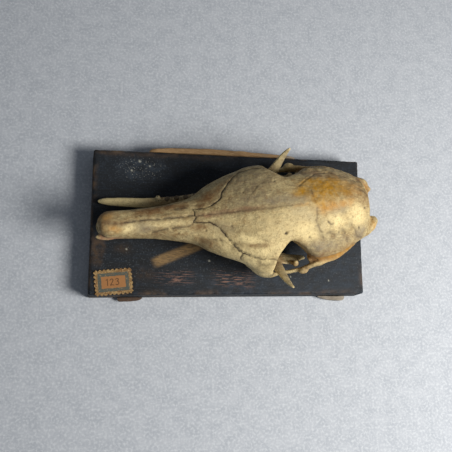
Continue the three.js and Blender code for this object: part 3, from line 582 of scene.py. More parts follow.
def bar(rows, rings=60, around=28, lean=(0, 0, 1)):
    """An oval bar along a Catmull-Rom path. A ring's point is the path's point plus side times the
    half width times cos a plus down times the half depth times sin a, where down lies nearest to
    the lean direction."""
    rows = np.asarray(rows, float)
    share = np.linspace(0, 1, rings)
    middle = rounded(rows[:, :3], share)
    along = np.gradient(middle, axis=0)
    along /= np.linalg.norm(along, axis=1, keepdims=True)
    side = np.cross(np.asarray(lean, float), along)
    side /= np.linalg.norm(side, axis=1, keepdims=True)
    down = np.cross(along, side)
    half = curve(np.c_[np.linspace(0, 1, len(rows)), rows[:, 3:5]])(share)
    angle = np.linspace(0, 2 * np.pi, around, endpoint=False)
    return closed(
        middle[:, None]
        + side[:, None] * half[:, :1, None] * np.cos(angle)[None, :, None]
        + down[:, None] * half[:, 1:, None] * np.sin(angle)[None, :, None]
    )


def ball(middle, radii, turn=0.0, rings=24, around=36):
    """An ellipsoid: rings at polar angle a have radius sin a and height cos a, scaled by radii and
    turned about the upright."""
    polar = np.linspace(0, np.pi, rings + 2)[1:-1, None]
    angle = np.linspace(0, 2 * np.pi, around, endpoint=False)[None]
    x, y = np.sin(polar) * np.cos(angle), np.sin(polar) * np.sin(angle)
    points, quads, fans = closed(np.stack([x, y, np.cos(polar) + 0 * angle], -1))
    points = points.copy()
    points[-2:] = [(0, 0, 1), (0, 0, -1)]
    points = points * radii
    c, s = math.cos(turn), math.sin(turn)
    x, y = points[:, 0] * c - points[:, 1] * s, points[:, 0] * s + points[:, 1] * c
    return np.c_[x, y, points[:, 2]] + middle, quads, fans


def mirrored(shell):
    """The shell on the other side, y turned to -y, with its faces turned back outwards."""
    points, quads, fans = shell
    return points * (1, -1, 1), quads[:, ::-1], fans[:, ::-1]


def both(shell):
    """The shell on the right and its mirror image on the left."""
    return [shell, mirrored(shell)]


def turned(yaw, pitch, roll):
    """Rz(yaw) Ry(pitch) Rx(roll) as a matrix, angles in degrees."""
    return np.array(
        Matrix.Rotation(math.radians(yaw), 3, "Z")
        @ Matrix.Rotation(math.radians(pitch), 3, "Y")
        @ Matrix.Rotation(math.radians(roll), 3, "X")
    )


def put(points, turn, at):
    """Own frame to the model's: the matrix times each point, plus the origin's place."""
    return points @ turn.T + np.asarray(at, float)


def mesh_of(name, shells):
    """One mesh in metres from shells of points, quads and triangles in millimetres."""
    points, corners, sizes, first = [], [], [], 0
    for spots, quads, fans in shells:
        points.append(spots)
        corners += [quads.ravel() + first, fans.ravel() + first]
        sizes += [np.full(len(quads), 4), np.full(len(fans), 3)]
        first += len(spots)
    points, corners, sizes = np.vstack(points) * MM, np.concatenate(corners), np.concatenate(sizes)
    mesh = bpy.data.meshes.new(name)
    mesh.vertices.add(len(points))
    mesh.vertices.foreach_set("co", points.astype(np.float32).ravel())
    mesh.loops.add(len(corners))
    mesh.loops.foreach_set("vertex_index", corners.astype(np.int32))
    mesh.polygons.add(len(sizes))
    mesh.polygons.foreach_set("loop_start", (np.cumsum(sizes) - sizes).astype(np.int32))
    mesh.update(calc_edges=True)
    mesh.validate()
    return mesh


def spots_of(mesh):
    """The mesh's points in millimetres and their normals."""
    points, normals = np.empty(len(mesh.vertices) * 3), np.empty(len(mesh.vertices) * 3)
    mesh.vertices.foreach_get("co", points)
    mesh.vertices.foreach_get("normal", normals)
    return points.reshape(-1, 3) / MM, normals.reshape(-1, 3)


def set_spots(mesh, points):
    """Moves the mesh's points to places given in millimetres."""
    mesh.vertices.foreach_set("co", (points * MM).astype(np.float32).ravel())
    mesh.update()


def shown(mesh):
    """The mesh as an object of the scene."""
    thing = bpy.data.objects.new(mesh.name, mesh)
    bpy.context.scene.collection.objects.link(thing)
    return thing


def applied(thing):
    """The thing's mesh after its modifiers. The thing itself goes."""
    bpy.context.view_layer.update()
    graph = bpy.context.evaluated_depsgraph_get()
    mesh = bpy.data.meshes.new_from_object(thing.evaluated_get(graph))
    old = thing.data
    bpy.data.objects.remove(thing)
    bpy.data.meshes.remove(old)
    return mesh


def skinned(thing, spacing, rounds):
    """Adds a new even skin of small quads, and rounds of smoothing."""
    skin = thing.modifiers.new("skin", "REMESH")
    skin.mode = "VOXEL"
    skin.voxel_size = spacing * MM
    soft = thing.modifiers.new("soft", "SMOOTH")
    soft.factor = 0.5
    soft.iterations = rounds


def cut(thing, tool_mesh, operation):
    """Joins, cuts or keeps the thing by a closed tool, which goes afterwards."""
    tool = shown(tool_mesh)
    trim = thing.modifiers.new("trim", "BOOLEAN")
    trim.operation = operation
    trim.solver = "MANIFOLD"
    trim.object = tool
    mesh = applied(thing)
    bpy.data.objects.remove(tool)
    bpy.data.meshes.remove(tool_mesh)
    return shown(mesh)


def fused(name, shells, spacing, holes=(), rounds=2):
    """One closed skin round all the shells, with the holes cut into it."""
    thing = shown(mesh_of(name, shells))
    skinned(thing, spacing * 1.25, 1)
    thing = shown(applied(thing))
    for hole in holes:
        thing = cut(thing, mesh_of(name + "_hole", [hole]), "DIFFERENCE")
    skinned(thing, spacing, rounds)
    return applied(thing)


def largest(mesh):
    """Drops loose crumbs: the labels of joined points spread along the edges until they settle."""
    count = len(mesh.vertices)
    edges = np.empty(len(mesh.edges) * 2, np.int32)
    mesh.edges.foreach_get("vertices", edges)
    a, b = edges.reshape(-1, 2).T
    label = np.arange(count)
    while True:
        low = np.minimum(label[a], label[b])
        new = label.copy()
        np.minimum.at(new, a, low)
        np.minimum.at(new, b, low)
        new = new[new]
        if (new == label).all():
            break
        label = new
    names, sizes = np.unique(label, return_counts=True)
    if len(names) == 1:
        return mesh
    keep = label == names[sizes.argmax()]
    work = bmesh.new()
    work.from_mesh(mesh)
    work.verts.ensure_lookup_table()
    bmesh.ops.delete(work, geom=[work.verts[i] for i in np.flatnonzero(~keep)], context="VERTS")
    work.to_mesh(mesh)
    work.free()
    return mesh


def hollow(mesh, normals, rounds):
    """How far each point lies below (+) or above (-) the smoothed skin round it, in mm."""
    edges = np.empty(len(mesh.edges) * 2, np.int32)
    mesh.edges.foreach_get("vertices", edges)
    a, b = edges.reshape(-1, 2).T
    points, _ = spots_of(mesh)
    count = len(points)
    degree = np.maximum(np.bincount(a, minlength=count) + np.bincount(b, minlength=count), 1)
    soft = points.copy()
    for _ in range(rounds):
        total = np.stack([
            np.bincount(a, soft[b, k], count) + np.bincount(b, soft[a, k], count) for k in range(3)
        ], -1)
        soft = 0.5 * soft + 0.5 * total / degree[:, None]
    return ((soft - points) * normals).sum(1)


def away(points, path):
    """The distance from each point to the nearest span of the path, all seen in one plane."""
    path = np.asarray(path, float)
    best = np.full(len(points), 1e9)
    for start, end in zip(path[:-1], path[1:]):
        span = end - start
        share = np.clip((points - start) @ span / (span @ span), 0, 1)
        best = np.minimum(best, np.linalg.norm(points - start - share[:, None] * span, axis=1))
    return best


def patches(x, y, rows):
    """The largest of strength times exp(-(dx / half x)^a - (dy / half y)^b) over the rows."""
    return np.maximum.reduce([
        strength * np.exp(-((x - at_x) / half_x) ** a - ((y - at_y) / half_y) ** b)
        for strength, at_x, at_y, half_x, half_y, a, b in rows
    ])


def marked(points, marks, kind):
    """How much of one kind of stain lies on each point: the largest of strength times
    exp(-0.7 (d^2)^1.6), where d is the distance in half sizes of the stain's turned ellipsoid."""
    total = np.zeros(len(points))
    for name, middle, half, turn, strength in marks:
        if name != kind:
            continue
        c, s = math.cos(math.radians(turn)), math.sin(math.radians(turn))
        gap = points - middle
        x, y = gap[:, 0] * c + gap[:, 1] * s, gap[:, 1] * c - gap[:, 0] * s
        d2 = (x / half[0]) ** 2 + (y / half[1]) ** 2 + (gap[:, 2] / half[2]) ** 2
        total = np.maximum(total, strength * np.exp(-d2 ** 1.6 * 0.7))
    return total


def attribute(mesh, name, values):
    """Gives each point of the mesh a number that its material can read by name."""
    layer = mesh.attributes.new(name, "FLOAT", "POINT")
    layer.data.foreach_set("value", np.asarray(values, np.float32))


def piece(mesh, name, look, nodes, edge=40.0):
    """Names a finished mesh as a piece: its material, its smooth faces, what it rides on and the
    solids that it stands for."""
    mesh.name = name
    mesh.materials.clear()
    mesh.materials.append(look)
    mesh.shade_smooth()
    mesh.set_sharp_from_angle(angle=math.radians(edge))
    thing = shown(mesh)
    thing.name = name
    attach(thing, "root")
    if nodes:
        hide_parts(*nodes)
    return thing


# ---- finishes ----------------------------------------------------------------------------------

def add(tree, kind, inputs=None, **settings):
    """Adds a node with its settings. An input that is a socket is linked, any other is set."""
    node = tree.nodes.new(kind)
    for key, value in settings.items():
        setattr(node, key, value)
    for key, value in (inputs or {}).items():
        if isinstance(value, bpy.types.NodeSocket):
            tree.links.new(value, node.inputs[key])
        else:
            node.inputs[key].default_value = value
    return node


def finish(name):
    """A new material, its shader, and the place on the piece in metres."""
    look = bpy.data.materials.new(name)
    look.use_nodes = True
    tree = look.node_tree
    tree.nodes.clear()
    shader = add(tree, "ShaderNodeBsdfPrincipled")
    add(tree, "ShaderNodeOutputMaterial", {"Surface": shader.outputs[0]})
    where = add(tree, "ShaderNodeTexCoord").outputs["Object"]
    return look, tree, shader, where


def overlaid(tree, colour, layers, colours):
    """Lays tones over a colour one by one. Each shows as much as its source times its factor, which
    is a number or a socket too, held between 0 and 1."""
    for source, factor, tone in layers:
        amount = add(
            tree, "ShaderNodeMath", {0: source, 1: factor}, operation="MULTIPLY", use_clamp=True
        ).outputs[0]
        colour = add(
            tree, "ShaderNodeMix", {0: amount, 6: colour, 7: colours[tone]}, data_type="RGBA"
        ).outputs[2]
    return colour


def summed(tree, layers):
    """The sum of the layers, each source times its weight."""
    total = None
    for source, weight in layers:
        part = add(tree, "ShaderNodeMath", {0: source, 1: weight}, operation="MULTIPLY").outputs[0]
        if total is not None:
            part = add(tree, "ShaderNodeMath", {0: total, 1: part}).outputs[0]
        total = part
    return total


def weathered_bone(name, colours, turn, gloss):
    """Old macerated bone: chalky and open grained, tan where dust and fat have gone into the pores,
    cream where it is bleached or rubbed and where light is painted on, brown in its seams, darker
    in its hollows as painted shade. It scatters light softly and has hardly any gloss."""
    look, tree, shader, where = finish(name)
    lengthwise = add(tree, "ShaderNodeMapping", {
        "Vector": where, "Rotation": (0, 0, math.radians(-turn)), "Scale": (1, 5, 4),
    }).outputs[0]
    # Fields of noise: the pitch in mm, where it is read, and how many finer layers it has.
    fields = {}
    for label, size, source, detail in (
        ("cloud", 11.0, where, 3), ("mottle", 2.2, where, 5), ("speck", 0.85, where, 4),
        ("grain", 0.42, where, 2), ("bloom", 1.5, lengthwise, 4), ("fibre", 3.4, lengthwise, 4),
    ):
        fields[label] = add(tree, "ShaderNodeTexNoise", {
            "Vector": source, "Scale": 1 / (size * MM), "Detail": detail, "Roughness": 0.62,
        }).outputs[0]
    # Hairlines where the bone has crazed, about 3 mm apart: the edges of cells, read up to 1.2 mm
    # off their place.
    drift = add(
        tree, "ShaderNodeTexNoise", {"Vector": where, "Scale": 1 / (1.6 * MM), "Detail": 2}
    ).outputs["Color"]
    adrift = add(
        tree, "ShaderNodeVectorMath", {0: drift, 1: (1.2 * MM,) * 3, 2: where},
        operation="MULTIPLY_ADD",
    ).outputs[0]
    fields["craze"] = add(
        tree, "ShaderNodeTexVoronoi", {"Vector": adrift, "Scale": 1 / (3.2 * MM)},
        feature="DISTANCE_TO_EDGE",
    ).outputs["Distance"]
    # Pores 0.55 mm apart, real ones being too fine to show.
    fields["pores"] = add(
        tree, "ShaderNodeTexVoronoi", {"Vector": where, "Scale": 1 / (0.55 * MM)}
    ).outputs["Distance"]
    share = {}
    for label, field, low, high, least, most in (
        ("cloud", "cloud", 0.38, 0.62, 0, 1), ("mottle", "mottle", 0.44, 0.66, 0, 1),
        ("fibre", "fibre", 0.46, 0.68, 0, 1), ("grain", "grain", 0.52, 0.66, 0, 1),
        ("speck", "speck", 0.54, 0.66, 0, 1), ("bloom", "bloom", 0.53, 0.68, 0, 1),
        ("patchy", "mottle", 0.3, 0.62, 0.4, 1.15), ("craze", "craze", 0.04, 0, 0, 1),
        ("crazed", "cloud", 0.48, 0.64, 0, 1), ("pores", "pores", 0.05, 0.3, 0, 1),
        ("rough", "mottle", 0.3, 0.7, gloss, gloss + 0.18),
    ):
        share[label] = add(tree, "ShaderNodeMapRange", {
            "Value": fields[field], "From Min": low, "From Max": high,
            "To Min": least, "To Max": most,
        }).outputs[0]
    hairline = add(
        tree, "ShaderNodeMath", {0: share["craze"], 1: share["crazed"]}, operation="MULTIPLY"
    ).outputs[0]
    mark = {
        kind: add(tree, "ShaderNodeAttribute", attribute_name=kind).outputs["Fac"]
        for kind in (*MARK_KINDS, "rubbed", "grime", "seam")
    }
    colour = overlaid(tree, colours["bone"], [
        (share["cloud"], 1.0, "pale"), (share["mottle"], 0.8, "tan"),
        (share["fibre"], 0.65, "dusty"), (share["bloom"], 0.6, "cream"),
        *((mark[kind], share["patchy"], kind) for kind in MARK_KINDS),
        # Fine specks and grain of dirt lie over the stains, and the hairlines; last come the rubbed
        # places, the painted shade of the hollows with the dirt along the seams, and the seams.
        (share["speck"], 0.55, "tan"), (share["grain"], 0.18, "grime"), (hairline, 0.42, "grime"),
        (mark["rubbed"], 1.0, "cream"), (mark["grime"], 1.0, "grime"), (mark["seam"], 1.0, "seam"),
    ], colours)
    tree.links.new(colour, shader.inputs["Base Color"])
    tree.links.new(share["rough"], shader.inputs["Roughness"])
    shader.inputs["IOR"].default_value = 1.46
    height = summed(tree, [
        (fields["grain"], 0.35), (fields["speck"], 0.5), (fields["fibre"], 0.5),
        (share["pores"], 0.14), (fields["mottle"], 0.5),
    ])
    bump = add(tree, "ShaderNodeBump", {"Height": height, "Strength": 0.7, "Distance": 0.4 * MM})
    tree.links.new(bump.outputs[0], shader.inputs["Normal"])
    return look


def old_paint(name, colours):
    """Thin black-blue paint over softwood: dull, clouded by dust, rubbed through to brown wood at
    the edges and where things slid over it, with fine reddish scratches and pale specks."""
    look, tree, shader, where = finish(name)
    drawn_out = {"plain": where}
    for label, turn, scale in (
        ("brushed", 0, (1, 9, 6)), ("scored", 0, (1, 15, 2)), ("slanting", -23, (1, 5, 2)),
    ):
        drawn_out[label] = add(tree, "ShaderNodeMapping", {
            "Vector": where, "Rotation": (0, 0, math.radians(turn)), "Scale": scale,
        }).outputs[0]
    fields = {}
    for label, size, source, detail in (
        ("cloud", 14.0, "plain", 4), ("mottle", 3.0, "plain", 5), ("grain", 0.6, "plain", 3),
        ("brush", 9.0, "brushed", 4), ("score", 4.5, "scored", 3), ("rub", 1.7, "slanting", 6),
    ):
        fields[label] = add(tree, "ShaderNodeTexNoise", {
            "Vector": drawn_out[source], "Scale": 1 / (size * MM), "Detail": detail,
            "Roughness": 0.62,
        }).outputs[0]
    share = {}
    for label, field, low, high, least, most in (
        ("clouded", "cloud", 0.35, 0.65, 0, 1), ("brushed", "brush", 0.5, 0.72, 0, 1),
        ("dirty", "mottle", 0.54, 0.75, 0, 1), ("gritty", "grain", 0.55, 0.72, 0, 1),
        ("dusty", "mottle", 0.35, 0.65, 0, 1), ("stained", "mottle", 0.35, 0.6, 0, 1),
        ("worn", "mottle", 0.36, 0.6, 0, 1), ("rubbed", "rub", 0.2, 0.62, 0, 1),
        ("scored", "score", 0.54, 0.62, 0, 1), ("specked", "grain", 0.6, 0.7, 0, 1),
        ("rough", "mottle", 0.3, 0.7, 0.58, 0.8),
    ):
        share[label] = add(tree, "ShaderNodeMapRange", {
            "Value": fields[field], "From Min": low, "From Max": high,
            "To Min": least, "To Max": most,
        }).outputs[0]
    layers = [
        (share["clouded"], 1.0, "faded"), (share["brushed"], 0.6, "blue"),
        (share["dirty"], 0.35, "dust"), (share["gritty"], 0.6, "dust"),
    ]
    # Each worn place shows where its field lets it through.
    for kind, tone in (
        ("dusty", "dust"), ("stained", "stain"), ("worn", "wood"), ("rubbed", "bare"),
        ("scored", "scratch"), ("specked", "speck"), ("spot", "speck"),
    ):
        mark = add(tree, "ShaderNodeAttribute", attribute_name=kind).outputs["Fac"]
        layers.append((mark, share.get(kind, 1.0), tone))
    colour = overlaid(tree, colours["paint"], layers, colours)
    tree.links.new(colour, shader.inputs["Base Color"])
    tree.links.new(share["rough"], shader.inputs["Roughness"])
    shader.inputs["IOR"].default_value = 1.4
    height = summed(tree, [
        (fields["brush"], 0.5), (fields["mottle"], 0.6), (fields["grain"], 0.3),
        (fields["score"], 0.3),
    ])
    bump = add(tree, "ShaderNodeBump", {"Height": height, "Strength": 0.6, "Distance": 0.25 * MM})
    tree.links.new(bump.outputs[0], shader.inputs["Normal"])
    return look


def printed_paper(name, colours):
    """Gummed rag paper, browned by age: matt, fibrous, with a printed border band and a paler
    written panel in it."""
    look, tree, shader, where = finish(name)
    fields = {}
    for label, size, detail in (("blotch", 3.5, 4), ("fibre", 0.45, 4), ("print", 0.55, 2)):
        fields[label] = add(tree, "ShaderNodeTexNoise", {
            "Vector": where, "Scale": 1 / (size * MM), "Detail": detail, "Roughness": 0.6,
        }).outputs[0]
    share = {}
    for label, field, low, high in (
        ("blotch", "blotch", 0.4, 0.65), ("fibre", "fibre", 0.48, 0.66),
        ("band", "print", 0.3, 0.5), ("band_line", "fibre", 0.2, 0.4),
        ("panel", "blotch", 0.15, 0.45), ("ink", "fibre", 0.2, 0.4),
    ):
        share[label] = add(
            tree, "ShaderNodeMapRange", {"Value": fields[field], "From Min": low, "From Max": high}
        ).outputs[0]
    layers = [(share["blotch"], 0.9, "brown"), (share["fibre"], 0.75, "pale")]
    for kind, tone in (("band", "band"), ("band_line", "line"), ("panel", "panel"), ("ink", "ink")):
        mark = add(tree, "ShaderNodeAttribute", attribute_name=kind).outputs["Fac"]
        layers.append((mark, share[kind], tone))
    tree.links.new(overlaid(tree, colours["paper"], layers, colours), shader.inputs["Base Color"])
    shader.inputs["Roughness"].default_value = 0.85
    shader.inputs["IOR"].default_value = 1.5
    bump = add(tree, "ShaderNodeBump", {
        "Height": fields["fibre"], "Strength": 0.4, "Distance": 0.1 * MM,
    })
    tree.links.new(bump.outputs[0], shader.inputs["Normal"])
    return look


def split_wood(name, colours):
    """Softwood torn along its grain: matt, long dark and pale fibres, weathered grey where it has
    lain open."""
    look, tree, shader, where = finish(name)
    grain = add(tree, "ShaderNodeMapping", {"Vector": where, "Scale": (1, 14, 14)}).outputs[0]
    layers, fields = [], {}
    for label, size, source, low, high, most, tone in (
        ("fibre", 7.0, grain, 0.42, 0.7, 0.7, "dark"),
        ("fine", 1.6, grain, 0.48, 0.68, 0.6, "pale"),
        ("blotch", 4.0, where, 0.5, 0.7, 0.3, "dark"),
    ):
        fields[label] = add(tree, "ShaderNodeTexNoise", {
            "Vector": source, "Scale": 1 / (size * MM), "Detail": 4, "Roughness": 0.6,
        }).outputs[0]
        share = add(
            tree, "ShaderNodeMapRange", {"Value": fields[label], "From Min": low, "From Max": high}
        ).outputs[0]
        layers.append((share, most, tone))
    for kind in ("grey", "paint"):
        mark = add(tree, "ShaderNodeAttribute", attribute_name=kind).outputs["Fac"]
        layers.append((mark, 1.0, kind))
    tree.links.new(overlaid(tree, colours["wood"], layers, colours), shader.inputs["Base Color"])
    shader.inputs["Roughness"].default_value = 0.8
    shader.inputs["IOR"].default_value = 1.5
    bump = add(tree, "ShaderNodeBump", {
        "Height": fields["fibre"], "Strength": 0.7, "Distance": 0.4 * MM,
    })
    tree.links.new(bump.outputs[0], shader.inputs["Normal"])
    return look


def backdrop_paper(name, colours):
    """A sheet of grey-blue paper under the board: matt and slightly mottled."""
    look, tree, shader, where = finish(name)
    layers = []
    for size, low, high, most, tone in (
        (5.0, 0.4, 0.62, 0.6, "deep"), (0.9, 0.46, 0.66, 0.8, "light"),
    ):
        field = add(tree, "ShaderNodeTexNoise", {
            "Vector": where, "Scale": 1 / (size * MM), "Detail": 4, "Roughness": 0.6,
        }).outputs[0]
        share = add(
            tree, "ShaderNodeMapRange", {"Value": field, "From Min": low, "From Max": high}
        ).outputs[0]
        layers.append((share, most, tone))
    tree.links.new(overlaid(tree, colours["paper"], layers, colours), shader.inputs["Base Color"])
    shader.inputs["Roughness"].default_value = 0.9
    return look


# ---- what a user may change ----------------------------------------------------------------------

def colour(name, description, code):
    """A colour with an sRGB hex value as its default."""
    return FloatVectorProperty(
        name=name, description=description, subtype="COLOR", size=4, min=0, max=1,
        default=linear(code),
    )


def length(name, description, value, low, high):
    """A length with its default and limits given in millimetres."""
    return FloatProperty(
        name=name, description=description, subtype="DISTANCE", unit="LENGTH",
        default=value * MM, min=low * MM, max=high * MM, precision=5,
    )


class BoneColours(PropertyGroup):
    """Colours of the old bone."""

    bone: colour("Bone", "Ground colour of the skull", "a9976b")
    pale: colour("Pale bone", "Clouds of paler bone", "bfad7e")
    tan: colour("Tan", "Mottling where dust went into the pores", "8a6e43")
    dusty: colour("Dust", "Dark fibres along the bone", "74664a")
    # Cream also paints light on the near side, turned to the lamp, and on the jaws' tips.
    cream: colour("Cream", "Bleached or rubbed bone", "e6d29b")
    grey: colour("Grey", "Grey-mauve weathering", "837863")
    # Brown also paints shade in the near gutter and on the far cheek shelf.
    brown: colour("Brown", "Brown stains", "74522d")
    # Orange also paints shade in the near gutter.
    orange: colour("Orange", "Orange stains", "b98c4c")
    ochre: colour("Ochre", "The mustard stain on the braincase", "ad7d14")
    pink: colour("Pink", "Pinkish bone along the middle and the lip", "9c7558")
    # Dark also paints shade on the far cheek shelf and along the jaws' tooth rows.
    dark: colour("Dark", "Dark spots and hollows", "4a3a28")
    # This colour also paints the shade in the hollows, besides the dirt in them.
    grime: colour("Grime", "Dirt in the hollows", "5c4a32")
    seam: colour("Seam", "Dirt in the seams between the bones", "2b2118")
    jaw: colour("Jaw", "Ground colour of the half jaws", "bcaf86")
    dentine: colour("Dentine", "Worn tooth crowns", "cfc19a")


class BoardColours(PropertyGroup):
    """Colours of the board, its label and its raw wood."""

    paint: colour("Paint", "Black-blue paint", "0e1115")
    faded: colour("Faded paint", "Clouded paint", "141a21")
    blue: colour("Blue paint", "Bluer brush strokes", "1a2532")
    dust: colour("Board dust", "Grey dust on the paint", "3a4450")
    stain: colour("Stain", "Brown stains on the paint", "4c3a29")
    wood: colour("Worn wood", "Wood where the paint is worn off", "5b4836")
    bare: colour("Bare wood", "Wood where the paint is rubbed off", "8b7049")
    scratch: colour("Scratch", "Reddish scratches", "8d6a5a")
    speck: colour("Speck", "Pale specks", "a8a89c")
    paper: colour("Paper", "Label paper", "83683f")
    band: colour("Printed band", "Blue-green border of the label", "4f554e")
    panel: colour("Panel", "Written panel of the label", "9b6c40")
    ink: colour("Ink", "Brown ink", "52371f")
    raw: colour("Raw wood", "Split softwood", "967650")
    table: colour("Backdrop", "Grey-blue paper under the board", "b4bac3")


class SkullSizes(PropertyGroup):
    """Sizes that shape the skull's skin."""

    spacing: length("Skin spacing", "Side of the small faces of the skull's skin", 0.31, 0.2, 1.0)
    jaw_spacing: length("Jaw spacing", "Side of the small faces of the half jaws", 0.22, 0.15, 1.0)
    seam_gap: length("Seam gap", "Open gap in the seam between face and forehead", 0.09, 0.05, 0.4)
    seam_depth: length("Seam depth", "How deep the open seams are worn", 0.24, 0.0, 1.0)
    relief: length("Relief", "Height of the bone's uneven surface", 0.16, 0.0, 0.5)


def tones(group, *names, **more):
    """Colours of a group by name as 4-tuples, with any more given as hex values."""
    picked = {name: tuple(getattr(group, name)) for name in names}
    return {**picked, **{name: linear(code) for name, code in more.items()}}


# ---- shapes --------------------------------------------------------------------------------------

def cranium_wall(rings=150, around=96):
    """The cranium's wall: at each place along it a closed Catmull-Rom curve runs through the eight
    places of the section, roof, brow, cheek and gum out and back, and palate. On the left it swells
    out and down by exp(-((x - 73) / 6)^2) times a smooth step of how far out it lies, and the tip
    draws in along a quarter circle."""
    knots = np.array(STATIONS)
    at = knots[0, 0] + (knots[-1, 0] - knots[0, 0]) * np.linspace(0, 1, rings)
    ends = np.sin(np.linspace(0, np.pi / 2, 8)) * 1.2
    at = np.unique(np.r_[at, ends])
    v = curve(knots)(at)
    zero = np.zeros(len(at))
    half = [(zero, v[:, 0]), *((v[:, n], v[:, n + 1]) for n in (1, 3, 5)), (zero, v[:, 7])]
    places = half + [(-y, z) for y, z in half[3:0:-1]]
    places = np.array(places).transpose(2, 0, 1)
    u = np.arange(around) / around * 8
    i = u.astype(int)
    w = (u - i)[None, :, None]
    a, b, c, d = (places[:, (i + k) % 8] for k in (-1, 0, 1, 2))
    yz = 0.5 * (2 * b + (c - a) * w + (2 * a - 5 * b + 4 * c - d) * w ** 2
                + (3 * b - a - 3 * c + d) * w ** 3)
    swell = np.exp(-((at[:, None] - SWELL["at"]) / SWELL["span"]) ** 2)
    swell = swell * smooth(-yz[..., 0], SWELL["from"], SWELL["to"])
    yz = yz - swell[..., None] * (SWELL["out"], SWELL["down"])
    tip = np.clip((TIP - at) / TIP, 0, 1)[:, None]
    yz[..., 0] *= 0.35 + 0.65 * np.sqrt(1 - tip ** 2)
    along = np.broadcast_to(at[:, None, None], (len(at), around, 1))
    return closed(np.concatenate([along, yz], -1))


def grown(points):
    """This animal's lopsidedness: y moves by the back lean times the smoothed share of the way
    back, less the cheek flare times exp(-((x - 57) / 10)^2) times (y / 18)^2."""
    points = np.array(points, float)
    x, y = points[:, 0], points[:, 1]
    flare = np.exp(-(((x - LOPSIDED["cheek_at"]) / LOPSIDED["span"]) ** 2)) * (y / 18) ** 2
    lean = LOPSIDED["back"] * smooth(x, LOPSIDED["from"], LOPSIDED["to"])
    points[:, 1] += lean - LOPSIDED["cheek"] * flare
    return points


def grown_shell(shell):
    """The shell with its points moved by the animal's lopsidedness."""
    return grown(shell[0]), shell[1], shell[2]


def torus(middle, radius, thick, tilt, turn, rings=48, around=16):
    """A ring: points at (radius + thick cos b) round the middle and thick sin b off its plane,
    tilted and turned."""
    a = np.linspace(0, 2 * np.pi, rings, endpoint=False)[:, None]
    b = np.linspace(0, 2 * np.pi, around, endpoint=False)[None]
    reach = radius + thick * np.cos(b)
    points = np.stack([reach * np.cos(a), reach * np.sin(a), thick * np.sin(b) + 0 * a], -1)
    points = points.reshape(-1, 3) @ turned(turn, 0, tilt).T + middle
    i, j = np.meshgrid(np.arange(rings), np.arange(around), indexing="ij")
    k, n = (j + 1) % around, (i + 1) % rings
    quads = np.stack([i * around + j, n * around + j, n * around + k, i * around + k], -1)
    return points, quads.reshape(-1, 4), np.empty((0, 3), int)


def prism(outline, low, high):
    """An upright closed wall round an outline, with flat ends."""
    outline = np.asarray(outline, float)
    x, y = outline.T
    if np.sum(x * np.roll(y, -1) - y * np.roll(x, -1)) < 0:
        outline = outline[::-1]
    count = len(outline)
    points = np.vstack([np.c_[outline, np.full(count, low)], np.c_[outline, np.full(count, high)]])
    faces = [list(range(count))[::-1], list(range(count, 2 * count))]
    faces += [[i, (i + 1) % count, count + (i + 1) % count, count + i] for i in range(count)]
    mesh = bpy.data.meshes.new("prism")
    mesh.from_pydata((points * MM).tolist(), [], faces)
    mesh.validate()
    return mesh


def wavy(path, pitch, height, seed):
    """A path with fine teeth: its spans are cut to the pitch, and each new point moves sideways by
    the height times a seeded draw."""
    path = np.asarray(path, float)
    out = [path[0]]
    rng = np.random.default_rng(seed)
    for start, end in zip(path[:-1], path[1:]):
        span = end - start
        long = np.linalg.norm(span)
        count = max(1, int(round(long / pitch)))
        side = np.array((-span[1], span[0])) / long
        for k in range(1, count + 1):
            wide = height * rng.uniform(-1, 1) if k < count else 0.0
            out.append(start + span * k / count + side * wide)
    return np.array(out)


def beside(path, shift):
    """The path moved sideways, its corners mitred by the cosine of half their turn."""
    before = np.vstack([path[:1], path[:-1]])
    after = np.vstack([path[1:], path[-1:]])
    along = after - before
    along /= np.linalg.norm(along, axis=1, keepdims=True)
    step = after - path
    step[-1] = path[-1] - path[-2]
    step /= np.linalg.norm(step, axis=1, keepdims=True)
    bend = np.maximum((along * step).sum(1), 0.5)
    return path + np.c_[-along[:, 1], along[:, 0]] * (shift / bend)[:, None]


FACE_EDGE = wavy(FACE_SEAM, 0.55, 0.13, 5)


def astray(points):
    """The points seen from above, each up to 0.12 mm off its place, so that no seam runs smooth."""
    return points[:, :2] + 0.12 * np.c_[noise(points, 0.9, 11), noise(points, 0.9, 12)]


def cranium_relief(points, normals, sizes):
    """The unevenness of the skull: layered noise along the normals, stronger on the braincase, less
    each seam's groove, depth times exp(-(distance / half width)^2), which is 0.7 of its depth in
    GROOVES, and less each pit's bowl, depth times exp(-(distance / radius)^2)."""
    x, y = points[:, 0], points[:, 1]
    top = smooth(normals[:, 2], 0.0, 0.4)
    plan = astray(points)
    relief = sizes.relief / MM
    brain = 1 + 1.4 * smooth(x, 62, 72)
    rise = relief * brain * layered(points, 6.0, 21)
    rise += 0.5 * relief * brain * layered(points, 1.7, 31, 2)
    rise += 0.3 * relief * layered(points * (0.25, 1.0, 0.7), 0.9, 41, 2)
    rise -= top * sizes.seam_depth / MM * np.exp(-(away(plan, FACE_EDGE) / SEAM_HALF) ** 2)
    for path, depth, _ in GROOVES:
        rise -= top * 0.7 * depth * np.exp(-(away(plan, path) / GROOVE_HALF) ** 2)
    for pit_x, pit_y, radius, depth in PITS:
        d2 = ((x - pit_x) ** 2 + (y - pit_y) ** 2) / radius ** 2
        rise -= top * depth * np.exp(-d2)
    # The nasals meet in a low pale ridge beside their groove.
    ridge = 0.18 * np.exp(-((y - 0.5) / 0.6) ** 2)
    rise += top * ridge * smooth(x, 8, 14) * (1 - smooth(x, 27, 31))
    # The crest and the corners behind it are chipped.
    rise -= smooth(x, 88, 94) * 0.35 * np.maximum(layered(points, 2.2, 51), 0)
    return points + normals * rise[:, None]


